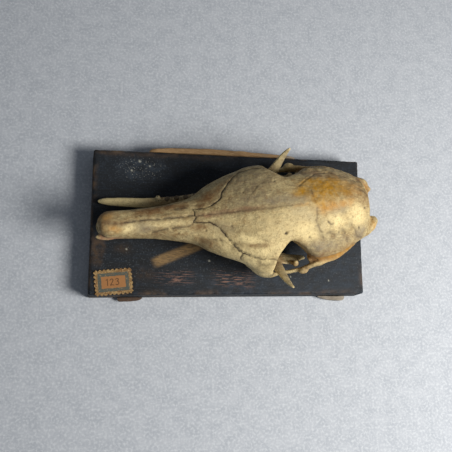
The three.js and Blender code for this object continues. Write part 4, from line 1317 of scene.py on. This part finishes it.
def cranium_attributes(mesh, local, normals):
    """Where the stains, seams, dirt and painted shade lie, from the points' own places."""
    top = smooth(normals[:, 2], -0.2, 0.3)
    wander = np.stack([layered(local, 3.5, 60 + k) for k in range(3)], -1)
    for kind in MARK_KINDS:
        attribute(mesh, kind, marked(local + 0.9 * wander, SKULL_MARKS, kind))
    plan = astray(local)
    beside_seam = away(plan, FACE_EDGE)
    broken = smooth(noise(local, 1.3, 17), -0.7, 0.1)
    fading = 1 - 0.6 * smooth(local[:, 1], 10, 13) - 0.45 * smooth(-local[:, 1], 14, 16)
    seam = top * fading * (0.35 + 0.65 * broken) * np.exp(-(beside_seam / SEAM_HALF) ** 2)
    for path, _, dark in GROOVES:
        gap = away(plan, path)
        groove = top * dark * (0.3 + 0.7 * broken) * np.exp(-(gap / GROOVE_HALF) ** 2)
        seam = np.maximum(seam, groove)
        beside_seam = np.minimum(beside_seam, gap)
    for x, y, radius, depth in PITS:
        d2 = ((local[:, 0] - x) ** 2 + (local[:, 1] - y) ** 2) / radius ** 2
        seam = np.maximum(seam, top * min(1.0, depth * 2) * np.exp(-d2))
    attribute(mesh, "seam", np.clip(seam, 0, 1))
    # The darkening of the hollows, weaker where the skin faces up, is painted shade; the halo along
    # the seams is dirt.
    dip = hollow(mesh, normals, 10)
    halo = 0.4 * broken * np.exp(-(beside_seam / 0.9) ** 2) * top
    attribute(mesh, "grime", np.maximum(0.6 * smooth(dip, 0.02, 0.2) * (1 - 0.4 * top), halo))
    attribute(mesh, "rubbed", 0.4 * smooth(-dip, 0.02, 0.2) * smooth(beside_seam, 0.4, 1.2))


def skull_bones():
    """The cranium in its own frame, made in one skin and cut into four closed pieces, each under
    the name of the solid it stands for: the cheek arches, the face and the braincase."""
    sizes = bpy.context.scene.skull_sizes
    shells = [
        cranium_wall(), bar(CREST, 60, 20, (1, 0, 0)), bar(RIGHT_CORNER), bar(LEFT_CORNER),
        bar(CHEEK_ARCH + RIGHT_ROOT, 110, 32), mirrored(bar(CHEEK_ARCH + LEFT_ROOT, 110, 32)),
        *(ball(*BALLS[name]) for name in ("right_condyle", "left_condyle", "lip")),
    ]
    for shell in (
        bar(CHEEK_SHELF), ball(*BALLS["knob"]), bar(PTERYGOID), bar(MASTOID), torus(**EAR_RING),
    ):
        shells += both(shell)
    shells.append(bar(GUTTER))
    holes = both(bar(UNDERCUT)) + [ball(*BALLS["spinal_opening"]), ball(*BALLS["nose_opening"])]
    holes += both(ball(*BALLS["orbit_opening"])) + [ball(*BALLS["palate_opening"])]
    shells, holes = ([grown_shell(shell) for shell in group] for group in (shells, holes))
    mesh = fused("cranium", shells, sizes.spacing / MM, holes)
    points, normals = spots_of(mesh)
    set_spots(mesh, cranium_relief(points, normals, sizes))
    gap = sizes.seam_gap / MM / 2
    low, high = JUGAL["low"], JUGAL["high"]
    pieces = {}
    for side, out in (("right", 1), ("left", -1)):
        inner, flared = out * JUGAL["inner"], out * (JUGAL["inner"] + JUGAL["flare"])
        boxes = []
        for near, far in ((JUGAL["from"] + gap, JUGAL["to"] - gap), (JUGAL["from"], JUGAL["to"])):
            corners = grown([(near, inner, 0), (far, flared, 0)])[:, :2]
            boxes.append(np.vstack([corners, [(far, out * REACH), (near, out * REACH)]]))
        arch = cut(shown(mesh.copy()), prism(boxes[0], low, high), "INTERSECT")
        pieces["cheek_arch_" + side] = largest(arch.data)
        trimmed = cut(shown(mesh), prism(boxes[1], low, high), "DIFFERENCE")
        mesh = trimmed.data
        bpy.data.objects.remove(trimmed)
    back, front = FACE_BLOCK["back"], FACE_BLOCK["front"]
    block = [(back, REACH), (front, REACH), (front, -REACH), (back, -REACH)]
    for name, shift, operation in (("snout", gap, "INTERSECT"), ("braincase", -gap, "DIFFERENCE")):
        outline = np.vstack([beside(FACE_EDGE, shift), block])
        tool = prism(outline, FACE_BLOCK["low"], FACE_BLOCK["high"])
        pieces[name] = largest(cut(shown(mesh.copy()), tool, operation).data)
    for thing in list(bpy.context.scene.objects):
        if thing.type == "MESH" and thing.data in pieces.values():
            bpy.data.objects.remove(thing)
    return pieces


def peg_tooth(x, y, z, radius, long, down, seed):
    """A peg with a worn, roof-shaped crown: rings of radius 1 + 0.08 sin 2a + 0.05 sin 5a with
    seeded phases, narrowing to the crown, which slopes both ways from a ridge across it."""
    height = np.linspace(0, 1, 10)[:, None]
    angle = np.linspace(0, 2 * np.pi, 20, endpoint=False)[None]
    taper = 1 - 0.18 * smooth(height, 0.3, 0.9) - 0.55 * smooth(height, 0.85, 1.0)
    rng = np.random.default_rng(seed)
    chip = 1 + 0.08 * np.sin(2 * angle + rng.uniform(0, 6))
    chip = chip + 0.05 * np.sin(5 * angle + rng.uniform(0, 6))
    px = radius * 1.15 * taper * chip * np.cos(angle)
    py = radius * 0.9 * taper * chip * np.sin(angle)
    crown = 0.35 * radius * smooth(height, 0.8, 1.0) * (0.5 - np.abs(np.cos(angle)))
    pz = (long * height + crown) * (-1 if down else 1)
    return closed(np.stack([x + px, y + py, z + pz], -1))


def upper_teeth():
    """Seven pegs a side, the row bowing out as a quarter sine, the middle ones the thickest."""
    size = UPPER_TEETH
    shells = []
    for i in range(size["count"]):
        share = i / (size["count"] - 1)
        y = size["out"][0] + (size["out"][1] - size["out"][0]) * math.sin(share * math.pi / 2)
        radius = size["radius"] * (1 - 0.2 * abs(share - 0.5))
        x = size["first"] + i * size["pitch"]
        for side in (1, -1):
            seed = i + 9 * side + 20
            shells.append(peg_tooth(x, side * y, 0.9, radius, size["long"], True, seed))
    return [grown_shell(s) for s in shells]


def half_jaw():
    """A half jaw in its own frame: its bow, the thin curved coronoid blade and the condyle on its
    neck, in one skin, with sockets sunk round the tooth stumps and a hole for the nerve."""
    sizes = bpy.context.scene.skull_sizes
    back = (1, 0, 0)
    shells = [
        bar(JAW_BODY, 150, 36), bar(CORONOID, 80, 28, back), bar(CONDYLE_NECK, 30, 24, back),
        ball(*BALLS["jaw_condyle"]),
    ]
    mesh = fused("half_jaw", shells, sizes.jaw_spacing / MM)
    points, normals = spots_of(mesh)
    body = curve([(row[0], row[1], row[2] + row[4]) for row in JAW_BODY])
    rise = 0.08 * layered(points, 4.0, 71) + 0.05 * layered(points * (0.3, 1, 1), 0.8, 81, 2)
    size = LOWER_TEETH
    ragged = 1 + 0.35 * noise(points, 0.8, 91)
    for i in range(size["count"]):
        x = size["first"] + i * size["pitch"]
        y, _ = body(x)
        d2 = ((points[:, 0] - x) ** 2 + (points[:, 1] - y) ** 2) / 1.1 ** 2
        rim = np.exp(-((np.sqrt(d2) * ragged - 1.05) / 0.3) ** 2) * 0.07 - np.exp(-d2 * 1.2) * 0.3
        rise += smooth(normals[:, 2], 0.2, 0.6) * rim * ragged
    d2 = ((points[:, 0] - 13.0) ** 2 + (points[:, 2] - 2.6) ** 2) / 0.5 ** 2
    rise -= smooth(normals[:, 1], 0.2, 0.6) * 0.5 * np.exp(-d2)
    set_spots(mesh, points + normals * rise[:, None])
    return mesh, body


def lower_teeth(body):
    """Pegs along the top of the jaw's bow and 1 mm deep in it: the first whole, the others stumps
    of 0.95, 1.2 and 0.7 times the stump's height in turn."""
    size = LOWER_TEETH
    shells = []
    for i in range(size["count"]):
        x = size["first"] + i * size["pitch"]
        y, z = body(x)
        rise = size["whole"] if i == 0 else size["stump"] * (0.7 + 0.5 * ((i * 7) % 3) / 2)
        shells.append(peg_tooth(x, y, z - 1.0, size["radius"], 1.0 + rise, False, 40 + i))
    return shells


def long_side(x, out):
    """The y of the board's far side (out 1) or near side (out -1) at x: a straight line from half
    the front's width to half the back's, moved by half the rise to the near side in front and to
    the far side behind."""
    share = np.asarray(x, float) / BOARD["length"] + 0.5
    front, back = out * BOARD["front"] - BOARD["rise"], out * BOARD["back"] + BOARD["rise"]
    return (front * (1 - share) + back * share) / 2


def board_skin(long=300, wide=150, under=30, tall=16, bend=6):
    """The board: a rounded rectangle (top run, far side, underside, near side) carried along x. At
    each end the ring draws in as r (1 - cos a) while x goes on as r sin a, and then shrinks to the
    middle of the end face."""
    r, half, high = BOARD["round"], BOARD["length"] / 2, BOARD["thick"]
    curl = np.linspace(0, np.pi / 2, bend)[::-1]
    inset, ends = r * (1 - np.sin(curl)), half - r + r * np.cos(curl)
    xs = np.r_[-ends[::-1], np.linspace(-half + r, half - r, long)[1:-1], ends]
    insets = np.r_[inset[::-1], np.zeros(long - 2), inset]
    corners = []
    for cy, cz, start in ((1, 1, 90), (1, -1, 0), (-1, -1, -90), (-1, 1, 180)):
        turns = [math.radians(start - 90 * step / (bend - 1)) for step in range(bend)]
        corners.append([(cy, cz, math.cos(a), math.sin(a)) for a in turns])
    top_run = [(t, 1, 0.0, 1.0) for t in np.linspace(-1, 1, wide)[1:-1]]
    far_run = [(1, t, 1.0, 0.0) for t in np.linspace(1, -1, tall)[1:-1]]
    under_run = [(t, -1, 0.0, -1.0) for t in np.linspace(1, -1, under)[1:-1]]
    near_run = [(-1, t, -1.0, 0.0) for t in np.linspace(-1, 1, tall)[1:-1]]
    runs = (top_run, corners[0], far_run, corners[1], under_run, corners[2], near_run, corners[3])
    section = np.array([place for run in runs for place in run])
    x = xs[:, None]
    far, near = long_side(x, 1), long_side(x, -1)
    flat = r - insets[:, None]
    y = (far + near) / 2 + section[:, 0] * ((far - near) / 2 - r) + section[:, 2] * flat
    z = high / 2 + section[:, 1] * (high / 2 - r) + section[:, 3] * flat
    grid = np.stack([np.broadcast_to(x, y.shape), y, z], -1)
    shrink = np.linspace(1, 0, 9)[1:-1, None, None]
    caps = [ring.mean(0) + (ring - ring.mean(0)) * shrink for ring in (grid[0], grid[-1])]
    grid = np.concatenate([caps[0][::-1], grid, caps[1]])
    far, near = long_side(grid[..., 0], 1), long_side(grid[..., 0], -1)
    grid[..., 0] += BOARD["lean"] * (grid[..., 1] - near) / (far - near) - BOARD["lean"] / 2
    return closed(grid)


def board_edge_depth(points):
    """How far each point of the board lies in from its nearest upright side."""
    x, y = points[:, 0], points[:, 1]
    in_from_end = BOARD["length"] / 2 - np.abs(x - BOARD["lean"] * y / BOARD["front"])
    return np.minimum.reduce([in_from_end, long_side(x, 1) - y, y - long_side(x, -1)])


def worn_board():
    """The board's skin with chips of layered noise out of its edges and its painted top rippled
    along the grain, kept inside the solid's box. With it, how far in and how high each point lay
    before."""
    points, quads, fans = board_skin()
    inset, height = board_edge_depth(points), points[:, 2]
    edge = smooth(np.maximum(inset, BOARD["thick"] - height), 1.4, 0.2)
    middle = np.c_[points[:, :2], np.full(len(points), BOARD["thick"] / 2)]
    outward = points - middle * (0.985, 0.97, 1)
    outward /= np.maximum(np.linalg.norm(outward, axis=1, keepdims=True), 1e-6)
    chips = np.maximum(layered(points, 2.4, 101), -0.1) * edge * 0.5
    ripple = 0.07 * layered(points * (0.3, 1, 1), 5.0, 105) * (height > 8.5)
    points = points - outward * chips[:, None]
    points[:, 2] += ripple - 0.05 * (height > 8.5)
    points[:, 2] = np.clip(points[:, 2], 0, BOARD["thick"])
    low, high = (np.array(corner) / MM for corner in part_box("board"))
    return (np.clip(points, low, high), quads, fans), inset, height


def board_attributes(mesh, points, inset, height):
    """Where the board's paint is worn, rubbed, scored, stained, dusty and specked, all but the wear
    of its edges on its top alone. The scored, stained, dusty and specked places are patches read
    at points moved by 1.2 mm times layered noise, so their outlines wander."""
    wander = np.stack([layered(points, 5.0, 110 + k) for k in range(3)], -1)
    x, y = (points + wander * 1.2)[:, :2].T
    up = height > 8.0
    rim = smooth(inset, 0.9, 0.1) * smooth(layered(points, 7.0, 121), -0.1, 0.45) * 0.9
    inner = 0.5 * smooth(inset, 2.5, 0.3) * smooth(layered(points, 9.0, 123), 0.1, 0.5)
    attribute(mesh, "worn", np.clip(rim + up * inner, 0, 1))
    gap, (c, s) = points[:, :2] - RUB["at"], RUB["way"]
    along, across = gap[:, 0] * c + gap[:, 1] * s, np.abs(gap[:, 1] * c - gap[:, 0] * s)
    ends = smooth(along, *RUB["start"]) * (1 - smooth(along, *RUB["end"]))
    attribute(mesh, "rubbed", up * ends * (1 - smooth(across, *RUB["half"])))
    attribute(mesh, "scored", up * patches(x, y, SCORED))
    attribute(mesh, "stained", up * patches(x, y, STAINED))
    near_side = 0.5 * np.exp(-((y + 23.0) / 4.0) ** 2) * smooth(x, -30, 0)
    right_end = 0.45 * smooth(x, 10, 40) * smooth(-y, 0, 12)
    dust = np.maximum.reduce([patches(x, y, DUSTED), near_side, right_end])
    attribute(mesh, "dusty", up * dust)
    speckle = patches(x, y, SPECKED) + 0.1 * np.exp(-((y + 16.0) / 8.0) ** 4)
    attribute(mesh, "specked", up * np.clip(speckle, 0, 1))
    total = np.zeros(len(points))
    for at_x, at_y, size in SPOTS:
        d2 = ((points[:, 0] - at_x) ** 2 + (points[:, 1] - at_y) ** 2) / size ** 2
        total = np.maximum(total, np.exp(-d2 ** 2))
    attribute(mesh, "spot", up * total)


def label_sheet(nu=181, nv=125):
    """The label: a sheet whose points run from -1 to 1 both ways. Near each edge they draw in where
    a perforation was, by 0.42 mm times the fourth power of a cosine with the perforation's pitch,
    and the sheet lifts a little at its corners. A second copy below closes it."""
    long, wide, teeth, bite = LABEL["length"] / 2, LABEL["width"] / 2, LABEL["teeth"], 0.42
    u, v = np.meshgrid(np.linspace(-1, 1, nu), np.linspace(-1, 1, nv), indexing="ij")
    across = round(wide * teeth / long)
    notch_u = np.cos(np.pi * teeth * (u + 1) / 2) ** 4
    notch_v = np.cos(np.pi * across * (v + 1) / 2) ** 4
    x = u * (long - bite * notch_v * smooth(np.abs(u), 0.86, 1))
    y = v * (wide - bite * notch_u * smooth(np.abs(v), 0.8, 1))
    flat = np.stack([x.ravel(), y.ravel(), np.zeros(u.size)], -1)
    near_rim = smooth(np.maximum(np.abs(u), np.abs(v)), 0.9, 1).ravel()
    torn = noise(flat, 0.7, 91) * 0.12 * near_rim
    x, y = x.ravel() * (1 - torn / long), y.ravel() * (1 - torn / wide)
    lift = 0.06 * (1 + layered(flat, 3.0, 95)) + 0.16 * (np.abs(u * v) ** 3).ravel()
    top = np.stack([x, y, 0.16 + lift], -1)
    under = np.stack([x, y, 0.02 + 0.8 * lift], -1)
    count = nu * nv
    place = np.arange(count).reshape(nu, nv)
    corners = (place[:-1, :-1], place[1:, :-1], place[1:, 1:], place[:-1, 1:])
    a, b, c, d = (corner.ravel() for corner in corners)
    rim = np.r_[place[:, 0], place[-1, 1:], place[-2::-1, -1], place[0, -2:0:-1]]
    ahead = np.roll(rim, -1)
    quads = np.vstack([
        np.stack([a, b, c, d], -1), np.stack([d, c, b, a], -1) + count,
        np.stack([ahead, rim, rim + count, ahead + count], -1),
    ])
    return np.vstack([top, under]), quads, np.empty((0, 3), int)


def label_attributes(mesh, flat):
    """The label's print: a band between two rectangles with fine lines in it, the panel inside it,
    and the ink within 0.2 mm of the numerals' strokes."""
    half = np.array([LABEL["length"] / 2, LABEL["width"] / 2])
    inside = (half - np.abs(flat)).min(axis=1)
    plan = np.c_[flat, 0 * flat[:, 0]]
    wobble = inside + 0.1 * noise(plan, 0.6, 97)
    band = smooth(wobble, 1.15, 1.35) * (1 - smooth(wobble, 2.3, 2.5))
    dots = np.sin(flat[:, 0] * 9) * np.sin(flat[:, 1] * 9) > 0
    line = np.exp(-((inside - 1.45) / 0.1) ** 2) + np.exp(-((inside - 2.2) / 0.1) ** 2)
    line += 0.8 * np.exp(-((inside - 1.82) / 0.16) ** 2) * dots
    panel = smooth(wobble, 2.35, 2.55)
    shaky = flat + 0.03 * np.c_[noise(plan, 0.3, 98), noise(plan, 0.3, 99)]
    near = np.minimum.reduce([away(shaky, stroke) for stroke in NUMERALS])
    attribute(mesh, "band", band)
    attribute(mesh, "band_line", np.clip(line, 0, 1) * 0.8)
    attribute(mesh, "panel", panel)
    attribute(mesh, "ink", (1 - smooth(near, 0.09, 0.2)) * panel)


def torn_wood(rows, out, low, high, seed):
    """Wood torn along its grain beside a long side of the board: at each place along x a rounded
    rectangle from the side out to the rows' reach and from low to high, its skin moved by noise
    drawn out along the grain."""
    reach = curve(rows)
    x = np.linspace(rows[0][0], rows[-1][0], int((rows[-1][0] - rows[0][0]) / 0.3) + 2)
    wide = reach(x)[:, 0] / 2
    angle = np.linspace(0, 2 * np.pi, 44, endpoint=False)
    c, s = np.cos(angle), np.sin(angle)
    box = np.stack([np.sign(c) * np.abs(c) ** 0.35, np.sign(s) * np.abs(s) ** 0.35], -1)
    middle = long_side(x, out) + out * (0.12 + wide)
    y = middle[:, None] + out * wide[:, None] * box[:, 0]
    taper = smooth(np.minimum(x - x[0], x[-1] - x), 0, 3.0) ** 0.5
    tall = (high - low) / 2 * (0.35 + 0.65 * taper)
    z = (high + low) / 2 + (high - low) * 0.1 * (1 - taper)
    z = z[:, None] + tall[:, None] * box[:, 1]
    grid = np.stack([np.broadcast_to(x[:, None], y.shape), y, z], -1)
    flat = grid.reshape(-1, 3)
    fibre = layered(flat * (1 / 9, 1, 1), 0.5, seed) * 0.22
    fibre += layered(flat * (1 / 6, 1, 1), 1.4, seed + 5) * 0.25
    sway = fibre.reshape(y.shape) * np.minimum(1, wide / 0.5)[:, None]
    grid[..., 1] += out * sway * np.clip(box[:, 0], -0.2, 1)
    grid[..., 2] += 0.5 * sway * box[:, 1]
    return closed(grid)


# ---- operators -----------------------------------------------------------------------------------

class SKULL_OT_stage(Operator):
    """Lay the backdrop paper, hang the lamp and set the camera"""

    bl_idname = "skull.stage"
    bl_label = "Stage"

    def execute(self, context):
        scene = context.scene
        reach, cells = BACKDROP["reach"], BACKDROP["cells"]
        grid = np.linspace(-reach, reach, cells + 1)
        x, y = (n.ravel() for n in np.meshgrid(grid, grid, indexing="ij"))
        points = np.stack([x, y, 0 * x], -1)
        a = np.arange((cells + 1) ** 2).reshape(cells + 1, -1)[:-1, :-1].ravel()
        quads = np.stack([a, a + cells + 1, a + cells + 2, a + 1], -1)
        mesh = mesh_of("backdrop", [(points, quads, np.empty((0, 3), int))])
        palette = tones(scene.board_colours, "table", deep="a2a9b3", light="c9cfd6")
        palette["paper"] = palette.pop("table")
        mesh.materials.append(backdrop_paper("grey_blue_paper", palette))
        floor = shown(mesh)

        toward = np.array(LIGHT["toward"]) / np.linalg.norm(LIGHT["toward"])
        lamp = bpy.data.lights.new("lamp", "AREA")
        lamp.shape = "DISK"
        lamp.size = LIGHT["across"]
        lamp.energy = LIGHT["power"]
        lamp.color = linear(LIGHT["colour"])[:3]
        holder = bpy.data.objects.new("lamp", lamp)
        scene.collection.objects.link(holder)
        side = np.cross((0, 0, 1), toward)
        side /= np.linalg.norm(side)
        turn = Matrix(np.stack([side, np.cross(toward, side), toward], -1).tolist()).to_4x4()
        turn.translation = (toward * LIGHT["away"] + LIT_POINT).tolist()
        holder.matrix_world = turn

        world = bpy.data.worlds.new("room")
        world.use_nodes = True
        sky = world.node_tree.nodes["Background"]
        sky.inputs["Color"].default_value = linear(SKY["colour"])
        sky.inputs["Strength"].default_value = SKY["strength"]
        scene.world = world

        eye = bpy.data.cameras.new("camera")
        eye.lens, eye.sensor_width = CAMERA["lens"], CAMERA["sensor"]
        eye.clip_start, eye.clip_end = 0.01, 10
        stand = bpy.data.objects.new("camera", eye)
        scene.collection.objects.link(stand)
        wanted = np.stack([CAMERA["right"], CAMERA["up"], -np.array(CAMERA["view"])], -1)
        axes, _ = np.linalg.qr(wanted)
        axes *= np.sign(np.einsum("ij,ij->j", axes, wanted))
        place = Matrix(axes.tolist()).to_4x4()
        place.translation = (np.array(CAMERA["at"]) * MM).tolist()
        stand.matrix_world = place
        scene.camera = stand
        scene.view_settings.view_transform = "Standard"
        return {"FINISHED"}


class SKULL_OT_board(Operator):
    """Build the old painted board"""

    bl_idname = "skull.board"
    bl_label = "Board"

    def execute(self, context):
        skin, inset, height = worn_board()
        mesh = mesh_of("board", [skin])
        board_attributes(mesh, skin[0], inset, height)
        palette = tones(
            context.scene.board_colours, "paint", "faded", "blue", "dust", "stain", "wood", "bare",
            "scratch", "speck",
        )
        look = old_paint("old_black_paint", palette)
        piece(mesh, "painted_board", look, ["board"], 60)
        return {"FINISHED"}


class SKULL_OT_label(Operator):
    """Build the perforated paper label with its plain number"""

    bl_idname = "skull.label"
    bl_label = "Paper label"

    def execute(self, context):
        points, quads, fans = label_sheet()
        seat = (LABEL["x"], LABEL["y"], BOARD["thick"])
        placed = put(points, turned(LABEL["turn"], 0, 0), seat)
        mesh = mesh_of("label", [(placed, quads, fans)])
        label_attributes(mesh, points[:, :2])
        palette = tones(
            context.scene.board_colours, "paper", "band", "panel", "ink", brown="6d4a28",
            pale="c0a474", line="414d4b",
        )
        look = printed_paper("browned_rag_paper", palette)
        piece(mesh, "paper_label", look, ["label"], 60)
        return {"FINISHED"}


class SKULL_OT_raw_wood(Operator):
    """Build the wood strip along the far edge and the two splinters on the near one"""

    bl_idname = "skull.raw_wood"
    bl_label = "Torn wood"

    def execute(self, context):
        for name, wood in TORN_WOOD.items():
            seed, (most, start, end) = wood["seed"], wood["grey"]
            skin = torn_wood(wood["rows"], wood["side"], wood["low"], wood["high"], seed)
            mesh = mesh_of(name, [skin])
            points = skin[0]
            open_long = most * smooth(points[:, 0], start, end)
            blotchy = smooth(layered(points, 4.0, seed + 9), -0.5, 0.4)
            attribute(mesh, "grey", open_long * blotchy)
            streaks = smooth(layered(points * (0.3, 1, 1), 1.6, seed + 12), 0.4, 0.6)
            attribute(mesh, "paint", 0.8 * streaks)
            palette = {tone: linear(code) for tone, code in wood["tones"].items()}
            # The strip is fresh wood, and the splinters are grey all through.
            fresh = name == "wood_strip"
            palette["wood"] = tuple(context.scene.board_colours.raw) if fresh else palette["grey"]
            look = split_wood("torn_softwood_" + name, palette)
            piece(mesh, name, look, [wood["node"]], 50)
        return {"FINISHED"}


class SKULL_OT_cranium(Operator):
    """Build the face, the braincase and the two cheek arches"""

    bl_idname = "skull.cranium"
    bl_label = "Cranium"

    def execute(self, context):
        palette = tones(
            context.scene.bone_colours, "bone", "pale", "tan", "dusty", "grime", "seam", *MARK_KINDS
        )
        look = weathered_bone("weathered_skull_bone", palette, SKULL["yaw"], 0.62)
        turn = turned(SKULL["yaw"], -SKULL["pitch"], SKULL["roll"])
        names = {
            "snout": "face_bones", "braincase": "braincase_bones",
            "cheek_arch_right": "right_cheek_arch", "cheek_arch_left": "left_cheek_arch",
        }
        for node, mesh in skull_bones().items():
            local, normals = spots_of(mesh)
            cranium_attributes(mesh, local, normals)
            set_spots(mesh, put(local, turn, SKULL["tip"]))
            piece(mesh, names[node], look, [node])
        return {"FINISHED"}


class SKULL_OT_upper_teeth(Operator):
    """Build the rows of peg teeth in the upper jaw"""

    bl_idname = "skull.upper_teeth"
    bl_label = "Upper teeth"

    def execute(self, context):
        mesh = mesh_of("upper_teeth", upper_teeth())
        local, _ = spots_of(mesh)
        for kind in MARK_KINDS + ("seam", "rubbed"):
            attribute(mesh, kind, 0 * local[:, 0])
        # The teeth darken towards their roots under the palate: painted shade.
        attribute(mesh, "grime", smooth(local[:, 2], -0.4, 0.6) * 0.8)
        turn = turned(SKULL["yaw"], -SKULL["pitch"], SKULL["roll"])
        set_spots(mesh, put(local, turn, SKULL["tip"]))
        palette = tones(
            context.scene.bone_colours, "tan", "dusty", "grime", "seam", *MARK_KINDS,
            bone="b7a57c", pale="cfc19a",
        )
        look = weathered_bone("worn_dentine", palette, SKULL["yaw"], 0.35)
        piece(mesh, "upper_teeth", look, [], 50)
        return {"FINISHED"}


class SKULL_OT_half_jaws(Operator):
    """Build the two loose half jaws and their teeth"""

    bl_idname = "skull.half_jaws"
    bl_label = "Half jaws"

    def execute(self, context):
        colours = context.scene.bone_colours
        palette = tones(colours, "tan", "dusty", "grime", "seam", *MARK_KINDS, pale="c4b68f")
        palette["bone"] = tuple(colours.jaw)
        look = weathered_bone("pale_jaw_bone", palette, 0.0, 0.48)
        palette["pale"] = tuple(colours.dentine)
        dentine = weathered_bone("jaw_dentine", palette, 0.0, 0.35)
        jaw, body = half_jaw()
        local, normals = spots_of(jaw)
        wander = np.stack([layered(local, 2.5, 160 + k) for k in range(3)], -1)
        for kind in MARK_KINDS:
            attribute(jaw, kind, marked(local + 0.8 * wander, JAW_MARKS, kind))
        # The jaws' hollows are darkened: painted shade.
        dip = hollow(jaw, normals, 10)
        attribute(jaw, "seam", 0 * dip)
        attribute(jaw, "grime", 0.8 * smooth(dip, 0.01, 0.12))
        attribute(jaw, "rubbed", 0.5 * smooth(-dip, 0.01, 0.12))
        teeth = mesh_of("jaw_teeth", lower_teeth(body))
        tooth_spots, _ = spots_of(teeth)
        for kind in MARK_KINDS + ("seam", "rubbed"):
            attribute(teeth, kind, 0 * tooth_spots[:, 0])
        # Every tooth behind the first is darkened: painted shade where the skull shades the tooth
        # row.
        attribute(teeth, "grime", smooth(tooth_spots[:, 0], 22, 23) * 0.9)
        for side, out in (("right", 1), ("left", -1)):
            seat = JAWS[side]
            turn = turned(seat["yaw"], -seat["pitch"], -out * seat["lean"])
            for mesh, spots, name, finish_look, nodes in (
                (jaw, local, side + "_half_jaw", look, ["mandible_" + side]),
                (teeth, tooth_spots, side + "_jaw_teeth", dentine, []),
            ):
                own = mesh.copy()
                set_spots(own, put(spots * (1, out, 1), turn, seat["at"]))
                if out < 0:
                    own.flip_normals()
                piece(own, name, finish_look, nodes)
        return {"FINISHED"}


class SKULL_PT_panel(Panel):
    """Sizes, colours and the parts of the mounted skull"""

    bl_idname = "SKULL_PT_panel"
    bl_label = "Mounted skull"
    bl_space_type = "VIEW_3D"
    bl_region_type = "UI"
    bl_category = "Skull"

    def draw(self, context):
        for group in ("skull_sizes", "bone_colours", "board_colours"):
            box = self.layout.box()
            values = getattr(context.scene, group)
            for name in values.__annotations__:
                box.prop(values, name)
        for kind in OPERATORS:
            self.layout.operator(kind.bl_idname)


OPERATORS = (
    SKULL_OT_stage, SKULL_OT_board, SKULL_OT_label, SKULL_OT_raw_wood, SKULL_OT_cranium,
    SKULL_OT_upper_teeth, SKULL_OT_half_jaws,
)
CLASSES = (BoneColours, BoardColours, SkullSizes, *OPERATORS, SKULL_PT_panel)


def register():
    """Makes the classes and the scene's three groups of values known to Blender."""
    for kind in CLASSES:
        bpy.utils.register_class(kind)
    bpy.types.Scene.skull_sizes = PointerProperty(type=SkullSizes)
    bpy.types.Scene.bone_colours = PointerProperty(type=BoneColours)
    bpy.types.Scene.board_colours = PointerProperty(type=BoardColours)


def unregister():
    """Takes them away again."""
    del bpy.types.Scene.skull_sizes, bpy.types.Scene.bone_colours, bpy.types.Scene.board_colours
    for kind in reversed(CLASSES):
        bpy.utils.unregister_class(kind)


def main():
    """Builds every part in order."""
    register()
    for kind in OPERATORS:
        group, name = kind.bl_idname.split(".")
        getattr(getattr(bpy.ops, group), name)()


if __name__ == "__main__":
    main()
